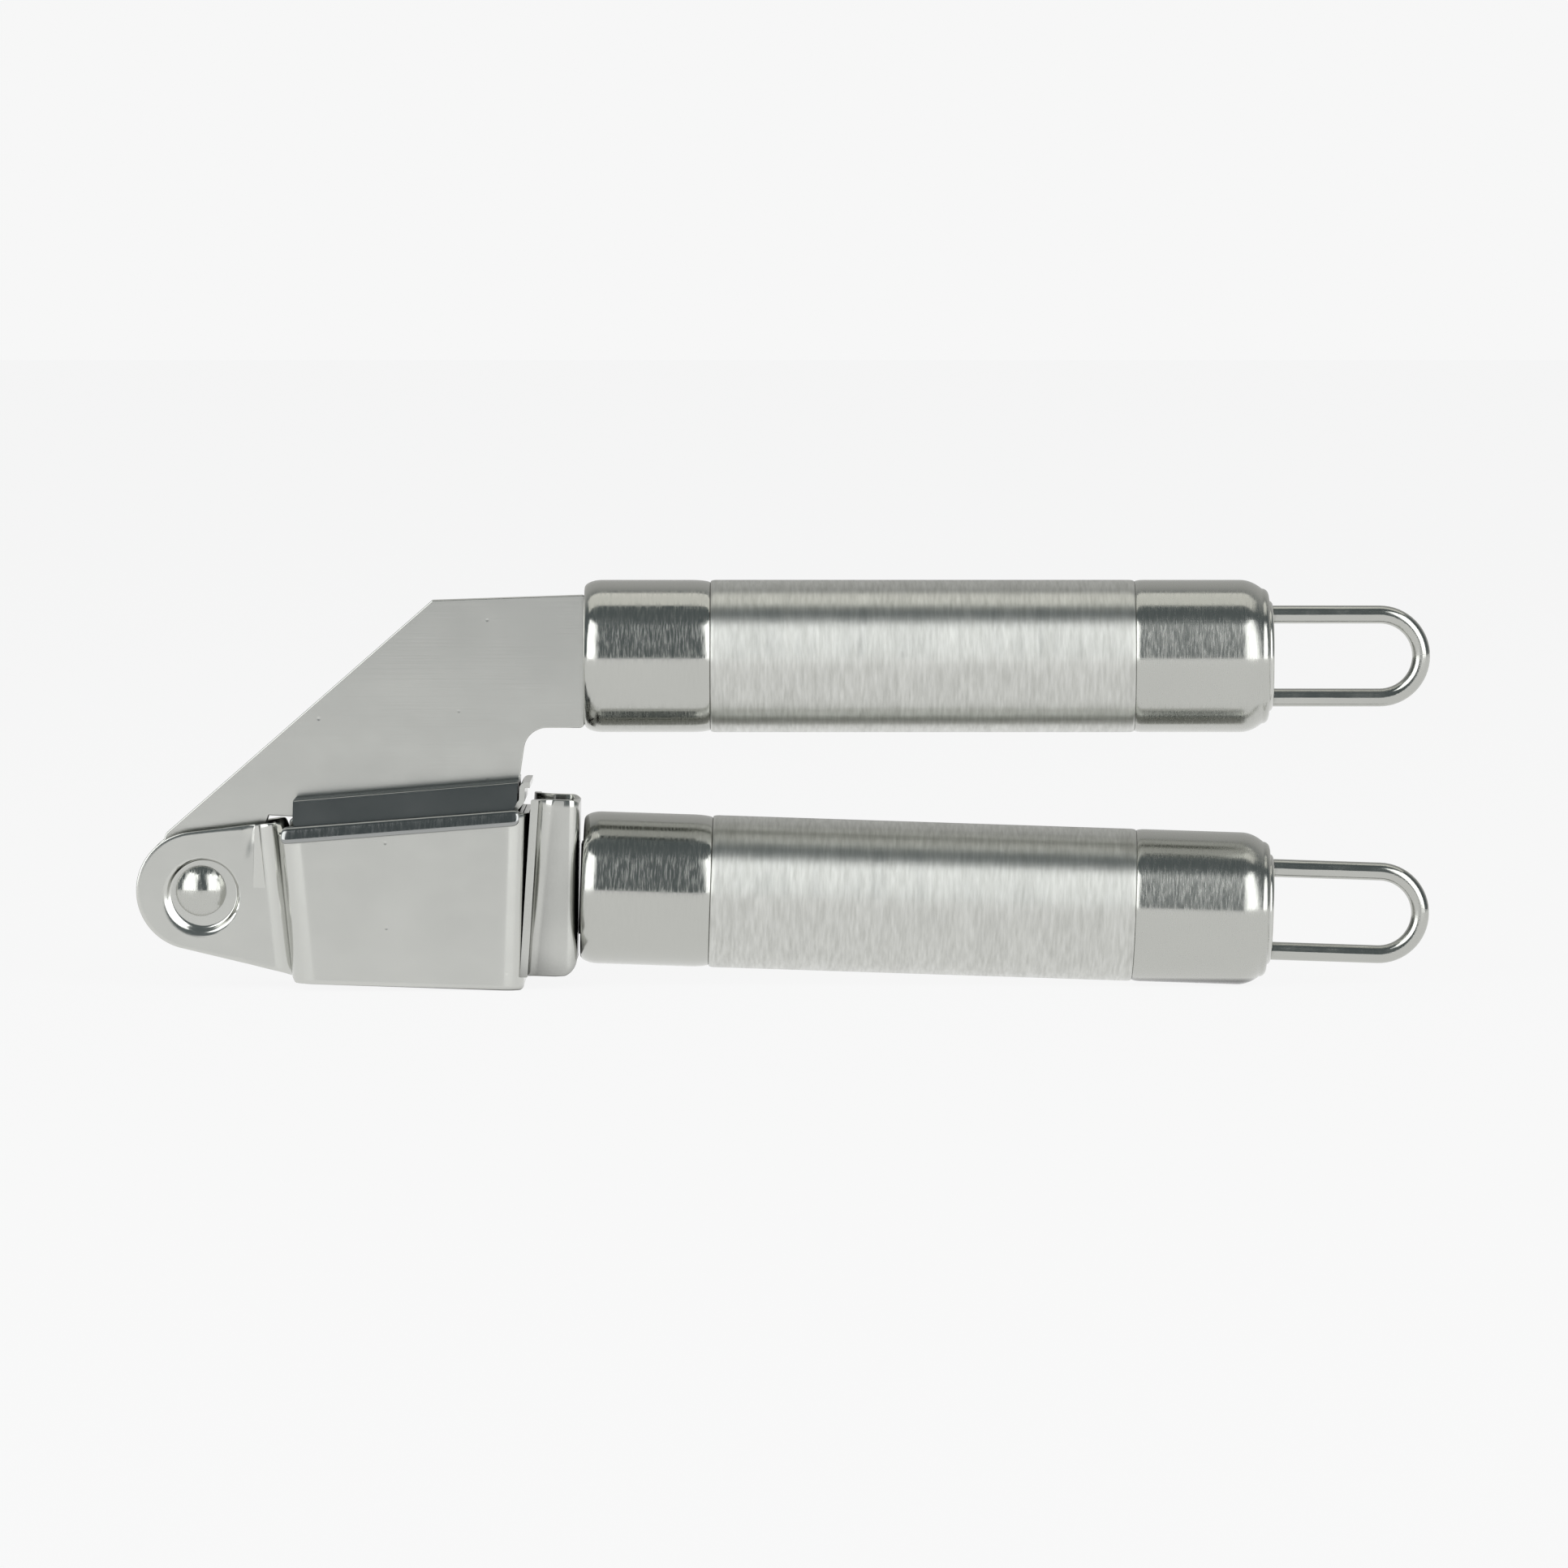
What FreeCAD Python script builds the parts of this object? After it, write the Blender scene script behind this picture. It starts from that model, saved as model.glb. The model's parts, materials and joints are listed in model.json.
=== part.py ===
import FreeCAD, Part
import math
import os
import Sketcher

# Garlic press: two levers on one rivet. The lower lever is a bent strip frame that holds a
# perforated strainer basket and ends in a round handle. The upper lever is a flat arm with a
# hollow plunger under it and the same handle. Each handle ends in a wire hanging loop.
#
# Millimetres. +X runs along the handles, +Y away from the side that shows the rivet head,
# +Z up. The origin is on the floor, under the middle of the press. Each lever is drawn from
# the pivot's centre: "along" is its X and "up" is its Z.

SIZES = [
    # Placement of the two levers
    ("nose_reach", 9.35, "pivot to the tip of the frame's nose"),
    ("loop_reach", 177.3, "pivot to the outer end of the hanging loops"),
    # Handles, the same on both levers
    ("tube_radius", 11.0, "outside of the handle tube and its caps"),
    ("tube_wall", 0.8, "handle tube wall"),
    ("front_face", 54.8, "pivot to the front face of the lower front cap"),
    ("upper_front_face", 55.2, "pivot to the front face of the upper front cap"),
    ("front_rounding", 1.3, "rounding of the front caps' rims"),
    ("front_seam", 73.4, "pivot to the joint of front cap and tube"),
    ("rear_seam", 134.5, "pivot to the joint of tube and rear cap"),
    ("shoulder", 150.55, "where the rear cap starts to neck down"),
    ("shoulder_end", 152.3, "where the neck-down ends"),
    ("rear_face", 153.9, "rear rim of the rear cap"),
    ("neck_radius", 10.0, "rear cap at the end of its neck-down"),
    ("rim_radius", 9.7, "rear cap's rim"),
    ("rim_rounding", 1.1, "rounding of the rear rim"),
    ("cap_wall", 1.0, "cap wall"),
    ("spigot_length", 6.0, "length of a cap's spigot inside the tube"),
    ("spigot_gap", 0.03, "radial gap between spigot and tube"),
    ("spigot_wall", 0.9, "wall of the spigot"),
    ("seam_rounding", 0.25, "rounding of the edges at the joints"),
    ("plug_radius", 8.0, "end plug"),
    ("plug_thickness", 2.4, "end plug"),
    ("plug_face", 154.65, "rear face of the end plug"),
    ("plug_rounding", 0.5, "rounding of the end plug's rear edge"),
    ("wire_radius", 1.3, "hanging loop wire"),
    ("leg_offset", 6.0, "handle axis to a leg of the hanging loop"),
    ("wire_start", 150.0, "inner end of the loop's legs"),
    ("wire_gap", 0.02, "radial gap between wire and plug"),
    ("lower_axis_up", 1.92, "pivot to the lower handle's axis"),
    ("upper_axis_up", 33.6, "pivot to the upper handle's axis"),
    # Basket frame
    ("sheet", 0.9, "frame sheet"),
    ("ear_half_width", 6.3, "middle plane to an ear's outer face"),
    ("frame_half_width", 13.0, "middle plane to a side wall's outer face"),
    ("nose_radius", 8.5, "rounded nose of the ears"),
    ("nose_centre", -0.85, "centre of the nose's arc along the lever"),
    ("front_top", 11.4, "front of the basket frame at its top corner"),
    ("front_top_up", 9.9, "height of that corner"),
    ("front_slope", 0.1103, "lean of the frame's front, along per up"),
    ("rear_wall", 47.05, "rear of the basket frame"),
    ("ear_bend", 2.9, "radius where an ear turns outwards"),
    ("front_bend", 3.8, "radius where the front turns into a side wall"),
    ("rear_bend", 3.5, "radius of the rear corners"),
    ("ear_top", 10.3, "upper rear corner of an ear"),
    ("ear_setback", 1.25, "that corner before the basket's front"),
    ("notch_depth", 1.5, "notch between ear and basket"),
    ("notch_slant", 0.1, "lean of the notch's sides"),
    ("notch_rounding", 0.5, "corners of the notch"),
    ("low_step", 0.3, "lower edge's step between ear and basket"),
    ("ear_bottom", 11.6, "depth of an ear's lower edge at the basket"),
    ("lip_slope", 0.1113, "rise of the basket's top edge along the lever"),
    ("basket_depth", 12.42, "pivot to the basket's underside"),
    ("basket_bottom_rounding", 0.6, "rounding of the lower corners"),
    ("dimple_radius", 5.9, "dimple around the rivet, at the ear's face"),
    ("dimple_floor", 4.8, "flat floor of the dimple"),
    ("dimple_depth", 0.6, "depth of the dimple"),
    ("dimple_back", 0.4, "how much wider its back is than its floor"),
    # Strainer basket
    ("strainer_sheet", 0.6, "strainer sheet"),
    ("strainer_gap", 0.05, "gap between strainer and frame"),
    ("hem_height", 2.0, "folded rim on the long sides"),
    ("hem_front", 11.6, "front end of the folded rim"),
    ("hem_rear", 45.6, "rear end of the folded rim"),
    ("hem_rounding", 0.9, "rounding of the folded rim's ends"),
    ("hem_corner", 0.3, "rounding of the rim's upper corners"),
    ("front_wall_drop", 3.0, "front wall's top edge below the rim"),
    ("front_wall_end", 2.5, "how far back of the frame's front that edge runs"),
    ("front_wall_rise", 5.0, "where the edge has risen to the rim"),
    ("hole_radius", 0.9, "strainer holes"),
    ("hole_pitch", 2.7, "distance between strainer holes"),
    ("hole_margin", 2.3, "plain border round the holes"),
    # Neck bracket
    ("bracket_sheet", 1.1, "neck bracket sheet"),
    ("bracket_half_width", 8.0, "middle plane to a bracket's side"),
    ("flange_half_width", 11.5, "middle plane to a flange's edge"),
    ("bracket_rear", 54.5, "outer face of the bracket's web"),
    ("bracket_top", 14.95, "top edge"),
    ("bracket_bottom", 10.55, "depth of the bottom edge"),
    ("bracket_bend", 3.4, "radius between side and web"),
    ("flange_bend", 1.2, "radius between flange and side"),
    ("bracket_top_rounding", 1.3, "upper rear corner"),
    ("bracket_bottom_rounding", 2.3, "lower rear corner"),
    ("neck_weld_half", 6.5, "handle axis to an end of the neck weld"),
    ("neck_weld_width", 8.0, "neck weld across the press"),
    # Pivot
    ("rivet_radius", 2.4, "rivet shank"),
    ("rivet_gap", 0.05, "radial running clearance in the arm"),
    ("fixed_gap", 0.02, "radial gap in the ears and spacers"),
    ("head_radius", 3.6, "rivet head"),
    ("head_height", 1.75, "rivet head above the dimple's floor"),
    ("head_edge", 0.35, "upright edge of the rivet head"),
    ("spacer_radius", 4.6, "spacer beside the arm"),
    ("side_play", 0.3, "gap between arm and spacer"),
    # Press arm
    ("arm_thickness", 2.5, "arm plate"),
    ("arm_boss", 7.6, "arm round the rivet"),
    ("boss_start", 7.22, "where the arm's front edge meets that round"),
    ("boss_start_up", 1.14, "height of that place"),
    ("arm_peak", 33.2, "corner where the arm's slope meets its top"),
    ("arm_peak_up", 41.7, "height of that corner"),
    ("arm_end_up", 42.45, "top of the arm at the handle"),
    ("arm_under", 23.25, "underside of the arm at the handle"),
    ("arm_heel", -5.3, "lower end of the arm's slope"),
    ("arm_heel_up", 8.05, "height of that end"),
    ("arm_back", 46.85, "rear edge of the arm under the handle"),
    ("arm_fillet", 3.3, "inner corner under the handle"),
    ("tang_length", 5.0, "tang inside the upper front cap"),
    ("tang_half_height", 6.0, "tang"),
    ("tang_gap", 0.05, "gap round the tang in the cap's slot"),
    ("weld_leg", 0.9, "weld beads"),
    ("weld_inset", 0.5, "ends of the beads inside the tang's height"),
    # Plunger
    ("plunger_sheet", 0.8, "plunger sheet"),
    ("plunger_half_width", 11.0, "side walls at their lower edge"),
    ("shoulder_half_width", 10.55, "side walls at the top"),
    ("plunger_bend", 1.2, "radius along the top edges"),
    ("plunger_slope", 4.77, "rise of the plunger's top, degrees"),
    ("plunger_top", 12.08, "pivot to the plunger's top, square to it"),
    ("press_gap", 0.35, "pressing face above the strainer's floor"),
    ("press_half_width", 9.7, "pressing plate"),
    # Plunger's side view, along and up the lower lever when the press is closed
    ("shell_front", 12.9, "front edge over the basket"),
    ("shell_brow", 13.05, "front edge at the basket's rim"),
    ("shell_brow_up", 10.6, "height of that point"),
    ("shell_knee", 16.0, "front edge inside the basket"),
    ("shell_knee_up", 4.2, "height of that point"),
    ("shell_toe", 16.8, "front edge at the bottom"),
    ("shell_heel", 42.9, "rear edge at the bottom"),
    ("shell_bulge", 44.2, "rear edge near the pivot's height"),
    ("shell_bulge_up", 2.0, "height of that point"),
    ("shell_neck", 44.5, "rear edge at the basket's rim"),
    ("shell_neck_up", 13.0, "height of that point"),
    ("shell_rear", 45.2, "rear edge over the basket"),
    ("press_toe", 16.8, "front of the pressing plate"),
    ("press_toe_top", 16.6, "top of its front wall"),
    ("press_toe_up", 0.8, "height of that wall"),
    ("press_heel", 43.45, "rear of the pressing face"),
    ("press_bulge", 44.95, "rear wall near the pivot's height"),
    ("press_bulge_up", 1.0, "height of that point"),
    ("press_step", 45.1, "rear wall under its step"),
    ("press_step_up", 13.0, "height of the step"),
    ("press_tab", 46.25, "rear wall over the step"),
    ("press_tab_up", 14.5, "foot of that wall"),
    ("press_curl", 46.95, "end of the curl"),
    ("press_curl_up", 16.55, "underside of the curl"),
    ("press_bend", 1.2, "bends of the pressing plate"),
    # Foot of the arm inside the plunger
    ("throat", 9.6, "underside of the arm between rivet and basket"),
    ("throat_up", 10.6, "height of that underside"),
    ("foot_front", 17.8, "front edge of the foot"),
    ("foot_front_up", 10.2, "top of that edge"),
    ("foot_front_drop", 11.05, "bottom of that edge"),
    ("foot_rear", 42.0, "rear lower corner of the foot"),
    ("foot_rear_drop", 11.85, "depth of that corner"),
    ("foot_bulge", 43.85, "rear edge of the foot at the pivot's height"),
    ("foot_neck", 44.4, "rear edge under the plunger's step"),
    ("foot_neck_up", 11.2, "height of that point"),
    ("foot_step", 45.4, "rear edge over the plunger's step"),
    ("foot_step_up", 13.4, "height of that point"),
    ("arm_back_low", 45.8, "rear edge at the plunger's curl"),
    ("arm_back_low_up", 16.0, "height of that point"),
    ("arm_corner", 1.0, "rounding of the arm's outer corners"),
]

doc = FreeCAD.newDocument("garlic_press")
sheet = doc.addObject("Spreadsheet::Sheet", "Size")
for row, (alias, amount, note) in enumerate(SIZES, start=1):
    sheet.set(f"A{row}", note)
    sheet.set(f"B{row}", str(amount))
    sheet.setAlias(f"B{row}", alias)
doc.recompute()

ALONG = FreeCAD.Vector(1, 0, 0)
ACROSS = FreeCAD.Vector(0, 1, 0)
UP = FreeCAD.Vector(0, 0, 1)
BEYOND = 40.0  # long reach of cutting shapes past what they cut
CLEAR = 1.0  # short reach past a face
LEAST_CUT = 0.001  # a cut that takes less than this took nothing
SAME = 0.02  # places closer than this are the same


def value(expression):
    """The number that an expression of the sheet's aliases gives."""
    return float(sheet.evalExpression(expression))


def size(alias):
    """One driving dimension."""
    return value(f"Size.{alias}")


# The lower lever leans so that it rests on the basket's rear edge and the rear cap.
REST_ALONG = "(Size.shoulder - Size.rear_wall + Size.basket_bottom_rounding)"
REST_DROP = "(Size.tube_radius - Size.lower_axis_up - Size.basket_depth)"
PIVOT_ALONG = "(Size.nose_reach - Size.loop_reach) / 2"
REST_CORNER = "Size.rear_wall - Size.basket_bottom_rounding"
LEAN = math.atan2(-value(REST_DROP), value(REST_ALONG))


def pivot_height():
    """Height of the pivot over the floor."""
    corner = value(REST_CORNER)
    return corner * math.sin(LEAN) + size("basket_depth") * math.cos(LEAN)


def put_on_lever(piece, lower):
    """Places a piece drawn from the pivot on the lower or the upper lever."""
    lean = math.degrees(LEAN) if lower else 0.0
    pivot = FreeCAD.Vector(value(PIVOT_ALONG), 0, pivot_height())
    piece.Placement = FreeCAD.Placement(pivot, FreeCAD.Rotation(ACROSS, lean))


# ---------------------------------------------------------------- bodies and their sketches


def new_body(label, lower):
    """An empty body on one of the levers."""
    body = doc.addObject("PartDesign::Body", label)
    body.Label = label
    put_on_lever(body, lower)
    return body


def new_sketch(body, name, plane, offset=0.0):
    """A sketch on one of the body's origin planes, moved along that plane's normal."""
    sketch = body.newObject("Sketcher::SketchObject", name)
    base = next(p for p in body.Origin.OriginFeatures if p.Role == plane)
    sketch.AttachmentSupport = [(base, "")]
    sketch.MapMode = "FlatFace"
    sketch.AttachmentOffset = FreeCAD.Placement(
        FreeCAD.Vector(0, 0, offset), FreeCAD.Rotation()
    )
    return sketch


def bind_point(sketch, geometry, end, x, y):
    """Ties a point of the sketch to two expressions."""
    for kind, expression in (("DistanceX", x), ("DistanceY", y)):
        bound = Sketcher.Constraint(kind, geometry, end, value(expression))
        at = sketch.addConstraint(bound)
        sketch.setExpression(f"Constraints[{at}]", expression)


def draw_polygon(sketch, corners):
    """A closed polygon whose corners are pairs of expressions."""
    points = [FreeCAD.Vector(value(x), value(y), 0) for x, y in corners]
    for here, there in zip(points, points[1:] + points[:1]):
        sketch.addGeometry(Part.LineSegment(here, there))
    count = len(points)
    for i in range(count):
        joined = Sketcher.Constraint("Coincident", i, 2, (i + 1) % count, 1)
        sketch.addConstraint(joined)
    for i, (x, y) in enumerate(corners):
        bind_point(sketch, i, 1, x, y)


def draw_circle(sketch, x, y, radius):
    """A circle whose centre and radius are expressions."""
    centre = FreeCAD.Vector(value(x), value(y), 0)
    circle = sketch.addGeometry(Part.Circle(centre, UP, value(radius)))
    bind_point(sketch, circle, 3, x, y)
    at = sketch.addConstraint(Sketcher.Constraint("Radius", circle, value(radius)))
    sketch.setExpression(f"Constraints[{at}]", radius)


def pad_both_ways(body, name, sketch, length):
    """Extrudes a sketch evenly to both sides of its plane."""
    pad = body.newObject("PartDesign::Pad", name)
    pad.Profile = sketch
    pad.Midplane = True
    pad.setExpression("Length", length)
    doc.recompute()
    return pad


def pocket_both_ways(body, name, sketch, length):
    """Cuts a sketch's outline evenly to both sides of its plane."""
    before = body.Shape.Volume
    pocket = body.newObject("PartDesign::Pocket", name)
    pocket.Profile = sketch
    pocket.Midplane = True
    pocket.setExpression("Length", length)
    doc.recompute()
    if body.Shape.Volume > before - LEAST_CUT:
        raise RuntimeError(f"{name} cut nothing")
    return pocket


def turn_about(body, name, sketch, axis):
    """Revolves a sketch about its own horizontal or vertical axis."""
    turned = body.newObject("PartDesign::Revolution", name)
    turned.Profile = sketch
    turned.ReferenceAxis = (sketch, [axis])
    turned.Angle = 360.0
    doc.recompute()
    return turned


def round_edges(body, name, radius, wanted):
    """Rounds the body's edges that the test picks."""
    tip = body.Tip
    names = [
        f"Edge{i}" for i, edge in enumerate(tip.Shape.Edges, start=1) if wanted(edge)
    ]
    if not names:
        raise RuntimeError(f"{name} found no edge")
    fillet = body.newObject("PartDesign::Fillet", name)
    fillet.Base = (tip, names)
    fillet.setExpression("Radius", radius)
    doc.recompute()
    return fillet


def ring_at(along, radius):
    """A test for a full circle round the X direction at one place and radius."""

    def test(edge):
        curve = edge.Curve
        if not isinstance(curve, Part.Circle) or abs(curve.Axis.x) < 0.99:
            return False
        right_place = abs(curve.Center.x - value(along)) < SAME
        return right_place and abs(curve.Radius - value(radius)) < SAME

    return test


def corner_at(*places):
    """A test for straight edges across the press that pass through the given places."""
    spots = [(value(x), value(z)) for x, z in places]

    def test(edge):
        start, end = edge.Vertexes[0].Point, edge.Vertexes[-1].Point
        across = abs(start.x - end.x) < SAME and abs(start.z - end.z) < SAME
        close = [math.hypot(start.x - x, start.z - z) < SAME for x, z in spots]
        return across and any(close)

    return test


# ---------------------------------------------------------------- sheet-metal outlines


def unit(from_point, to_point):
    """Direction from one flat point to another."""
    dx, dy = to_point[0] - from_point[0], to_point[1] - from_point[1]
    length = math.hypot(dx, dy)
    return dx / length, dy / length


def offset_path(points, distance):
    """An open path of straight runs moved to its left."""
    moved = []
    for i, point in enumerate(points):
        arriving = unit(points[i - 1], point) if i > 0 else None
        leaving = unit(point, points[i + 1]) if i < len(points) - 1 else None
        first, second = arriving or leaving, leaving or arriving
        normal = (-first[1] - second[1], first[0] + second[0])
        scale = distance / (normal[1] * first[0] - normal[0] * first[1])
        moved.append((point[0] + normal[0] * scale, point[1] + normal[1] * scale))
    return moved


def turn_side(before, corner, after):
    """+1 where a path turns left at a corner and -1 where it turns right."""
    first, second = unit(before, corner), unit(corner, after)
    return 1.0 if first[0] * second[1] - first[1] * second[0] > 0 else -1.0


def rounded_edges(points, radii, closed, to_space):
    """Edges along straight runs with a tangent arc at each corner that has a radius."""
    count = len(points)
    starts, ends, arcs = {}, {}, {}
    for i in range(count):
        starts[i] = ends[i] = points[i]
        if radii[i] == 0 or (not closed and i in (0, count - 1)):
            continue
        before, after = points[i - 1], points[(i + 1) % count]
        back, on = unit(points[i], before), unit(points[i], after)
        half = math.acos(back[0] * on[0] + back[1] * on[1]) / 2
        reach = radii[i] / math.tan(half)
        middle = (back[0] + on[0], back[1] + on[1])
        length = math.hypot(*middle)
        depth = radii[i] / math.sin(half) - radii[i]
        ends[i] = (points[i][0] + back[0] * reach, points[i][1] + back[1] * reach)
        starts[i] = (points[i][0] + on[0] * reach, points[i][1] + on[1] * reach)
        arcs[i] = (
            points[i][0] + middle[0] / length * depth,
            points[i][1] + middle[1] / length * depth,
        )
    edges = []
    for i in range(count if closed else count - 1):
        following = (i + 1) % count
        if math.dist(starts[i], ends[following]) > 1e-6:
            run = Part.LineSegment(to_space(*starts[i]), to_space(*ends[following]))
            edges.append(run.toShape())
        if following in arcs:
            bend = Part.Arc(
                to_space(*ends[following]),
                to_space(*arcs[following]),
                to_space(*starts[following]),
            )
            edges.append(bend.toShape())
    return edges


def outline(points, radii, to_space):
    """A closed wire with rounded corners."""
    return Part.Wire(rounded_edges(points, radii, True, to_space))


def strip_wire(points, radii, thickness, to_space):
    """The closed edge of a bent strip, given along one face; the metal is to its left."""
    other = offset_path(points, thickness)
    other_radii = [0.0] * len(points)
    for i in range(1, len(points) - 1):
        side = turn_side(points[i - 1], points[i], points[i + 1])
        other_radii[i] = max(radii[i] - side * thickness, 0.0) if radii[i] else 0.0
    there = rounded_edges(points, radii, False, to_space)
    back = rounded_edges(other[::-1], other_radii[::-1], False, to_space)
    end_cap = Part.LineSegment(to_space(*points[-1]), to_space(*other[-1])).toShape()
    start_cap = Part.LineSegment(to_space(*other[0]), to_space(*points[0])).toShape()
    return Part.Wire(there + [end_cap] + back + [start_cap])


def side_view(x, z):
    """A point of a side view, on the middle plane."""
    return FreeCAD.Vector(x, 0, z)


def end_view(y, z):
    """A point of a view along the lever."""
    return FreeCAD.Vector(0, y, z)


def plan_at(height):
    """Points of a plan view at one height."""
    return lambda x, y: FreeCAD.Vector(x, y, height)


def side_prism(points, radii, half_width):
    """A side view made solid, evenly to both sides of the middle plane."""
    face = Part.Face(outline(points, radii, side_view))
    face.translate(ACROSS * -half_width)
    return face.extrude(ACROSS * (2 * half_width))


def block(x0, x1, y0, y1, z0, z1):
    """A box between two corners."""
    return Part.makeBox(x1 - x0, y1 - y0, z1 - z0, FreeCAD.Vector(x0, y0, z0))


def rod_across(radius, y0, y1, x=0.0, z=0.0):
    """A cylinder along Y."""
    return Part.makeCylinder(radius, y1 - y0, FreeCAD.Vector(x, y0, z), ACROSS)


def add_feature(label, shape, lower):
    """A piece made by Part's functions, placed on a lever once its shape is set."""
    piece = doc.addObject("Part::Feature", label)
    piece.Label = label
    piece.Shape = shape
    put_on_lever(piece, lower)
    return piece


# ---------------------------------------------------------------- lower lever: basket


def lip_height(along):
    """Height of the basket's rim at a place along the lever."""
    return size("front_top_up") + (along - size("front_top")) * size("lip_slope")


def front_at(height, inset=0.0):
    """Front of the basket frame at a height, or of a box set in from it."""
    lean = (size("front_top_up") - height) * size("front_slope")
    return size("front_top") + lean + inset


def frame_plan(height):
    """The bent strip seen from above at one height, ear to ear round the basket."""
    front = front_at(height)
    rear = size("rear_wall")
    ear = size("ear_half_width")
    side = size("frame_half_width")
    tip = size("nose_centre") - BEYOND / 2
    path = [
        (tip, -ear),
        (front, -ear),
        (front, -side),
        (rear, -side),
        (rear, side),
        (front, side),
        (front, ear),
        (tip, ear),
    ]
    ear_bend, front_bend = size("ear_bend"), size("front_bend")
    rear_bend = size("rear_bend")
    radii = [0, ear_bend, front_bend, rear_bend, rear_bend, front_bend, ear_bend, 0]
    return strip_wire(path, radii, size("sheet"), plan_at(height))


def tangent_from(point, centre, radius, side):
    """Where a line from a point touches a circle, on its upper (+1) or lower (-1) side."""
    dx, dy = point[0] - centre[0], point[1] - centre[1]
    angle = math.atan2(dy, dx) + side * math.acos(radius / math.hypot(dx, dy))
    return centre[0] + radius * math.cos(angle), centre[1] + radius * math.sin(angle)


def frame_side_prism():
    """Side view of the frame: round nose, ears, and the taller basket walls."""
    centre = (size("nose_centre"), 0.0)
    radius = size("nose_radius")
    depth = size("basket_depth")
    rear = size("rear_wall")
    under_lip = size("strainer_sheet") + size("strainer_gap")
    ear_rear = size("front_top") - size("ear_setback")
    notch_floor = size("ear_top") - size("notch_depth")
    slant, step = size("notch_slant"), size("low_step")
    ear_corner = (ear_rear, size("ear_top"))
    front_low = front_at(-size("ear_bottom"))
    low_corner = (front_low - step, -size("ear_bottom"))
    top_touch = tangent_from(ear_corner, centre, radius, 1)
    low_touch = tangent_from(low_corner, centre, radius, -1)
    tip = side_view(centre[0] - radius, 0)
    nose = Part.Arc(side_view(*low_touch), tip, side_view(*top_touch)).toShape()
    behind = rear + CLEAR
    points = [
        top_touch,
        ear_corner,
        (ear_rear + slant, notch_floor),
        (size("front_top") - 2 * slant, notch_floor),
        (size("front_top"), lip_height(size("front_top")) - under_lip),
        (behind, lip_height(behind) - under_lip),
        (behind, -depth),
        (front_at(-depth) - slant, -depth),
        (front_low - step + slant, -size("ear_bottom") - slant),
        low_corner,
        low_touch,
    ]
    notch, rounding = size("notch_rounding"), size("basket_bottom_rounding")
    radii = [0, notch, notch, notch, 0, 0, 0, rounding, 0, 0, 0]
    edges = rounded_edges(points, radii, False, side_view)
    face = Part.Face(Part.Wire(edges + [nose]))
    half = size("frame_half_width") + CLEAR
    face.translate(ACROSS * -half)
    return face.extrude(ACROSS * (2 * half))


def make_basket_frame():
    """One strip bent round the basket, with a dimpled ear each side of the arm."""
    high, low = size("bracket_top") + CLEAR, -size("basket_depth") - CLEAR
    walls = Part.makeLoft([frame_plan(low), frame_plan(high)], True, True)
    shape = walls.common(frame_side_prism())
    rounding = size("basket_bottom_rounding")
    rear, depth = size("rear_wall"), size("basket_depth")
    start, end = rear - rounding, rear + CLEAR
    corner = block(start, end, -BEYOND, BEYOND, -depth - CLEAR, rounding - depth)
    bead = rod_across(rounding, -BEYOND, BEYOND, rear - rounding, rounding - depth)
    shape = shape.cut(corner.cut(bead))
    outer, inner = size("ear_half_width"), size("ear_half_width") - size("sheet")
    deep, wide, floor = size("dimple_depth"), size("dimple_radius"), size("dimple_floor")
    hole = size("rivet_radius") + size("fixed_gap")
    for side in (-1, 1):
        outward = ACROSS * side
        back = floor + size("dimple_back")
        boss = Part.makeCone(wide, back, deep, outward * inner, outward * -1)
        recess = Part.makeCone(wide, floor, deep, outward * outer, outward * -1)
        shape = shape.fuse(boss).cut(recess)
    shape = shape.cut(rod_across(hole, -BEYOND, BEYOND))
    add_feature("basket_frame", shape.removeSplitter(), True)


def box_plan(height, inset, front_bend, rear_bend):
    """Rounded rectangle inside the frame at one height."""
    front = front_at(height, inset)
    rear = size("rear_wall") - inset
    side = size("frame_half_width") - inset
    points = [(front, -side), (rear, -side), (rear, side), (front, side)]
    radii = [front_bend, rear_bend, rear_bend, front_bend]
    return outline(points, radii, plan_at(height))


def tapered_box(inset, low, high):
    """A solid that follows the inside of the frame at one inset."""
    front_bend = size("front_bend") - inset
    rear_bend = size("rear_bend") - inset
    plans = [box_plan(z, inset, front_bend, rear_bend) for z in (low, high)]
    return Part.makeLoft(plans, True, True)


def hole_places(floor):
    """Centres of the strainer's staggered holes."""
    margin, pitch = size("hole_margin"), size("hole_pitch")
    inset = size("sheet") + size("strainer_gap") + size("strainer_sheet") + margin
    front, rear = front_at(floor, inset), size("rear_wall") - inset
    half = size("frame_half_width") - inset
    row_step = pitch * math.sqrt(3) / 2
    rows = int(half // row_step)
    places = []
    for row in range(-rows, rows + 1):
        shift = pitch / 2 if row % 2 else 0.0
        count = int((rear - front - shift) // pitch) + 1
        first = (front + rear - (count - 1) * pitch) / 2
        places += [(first + i * pitch, row * row_step) for i in range(count)]
    return places


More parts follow.
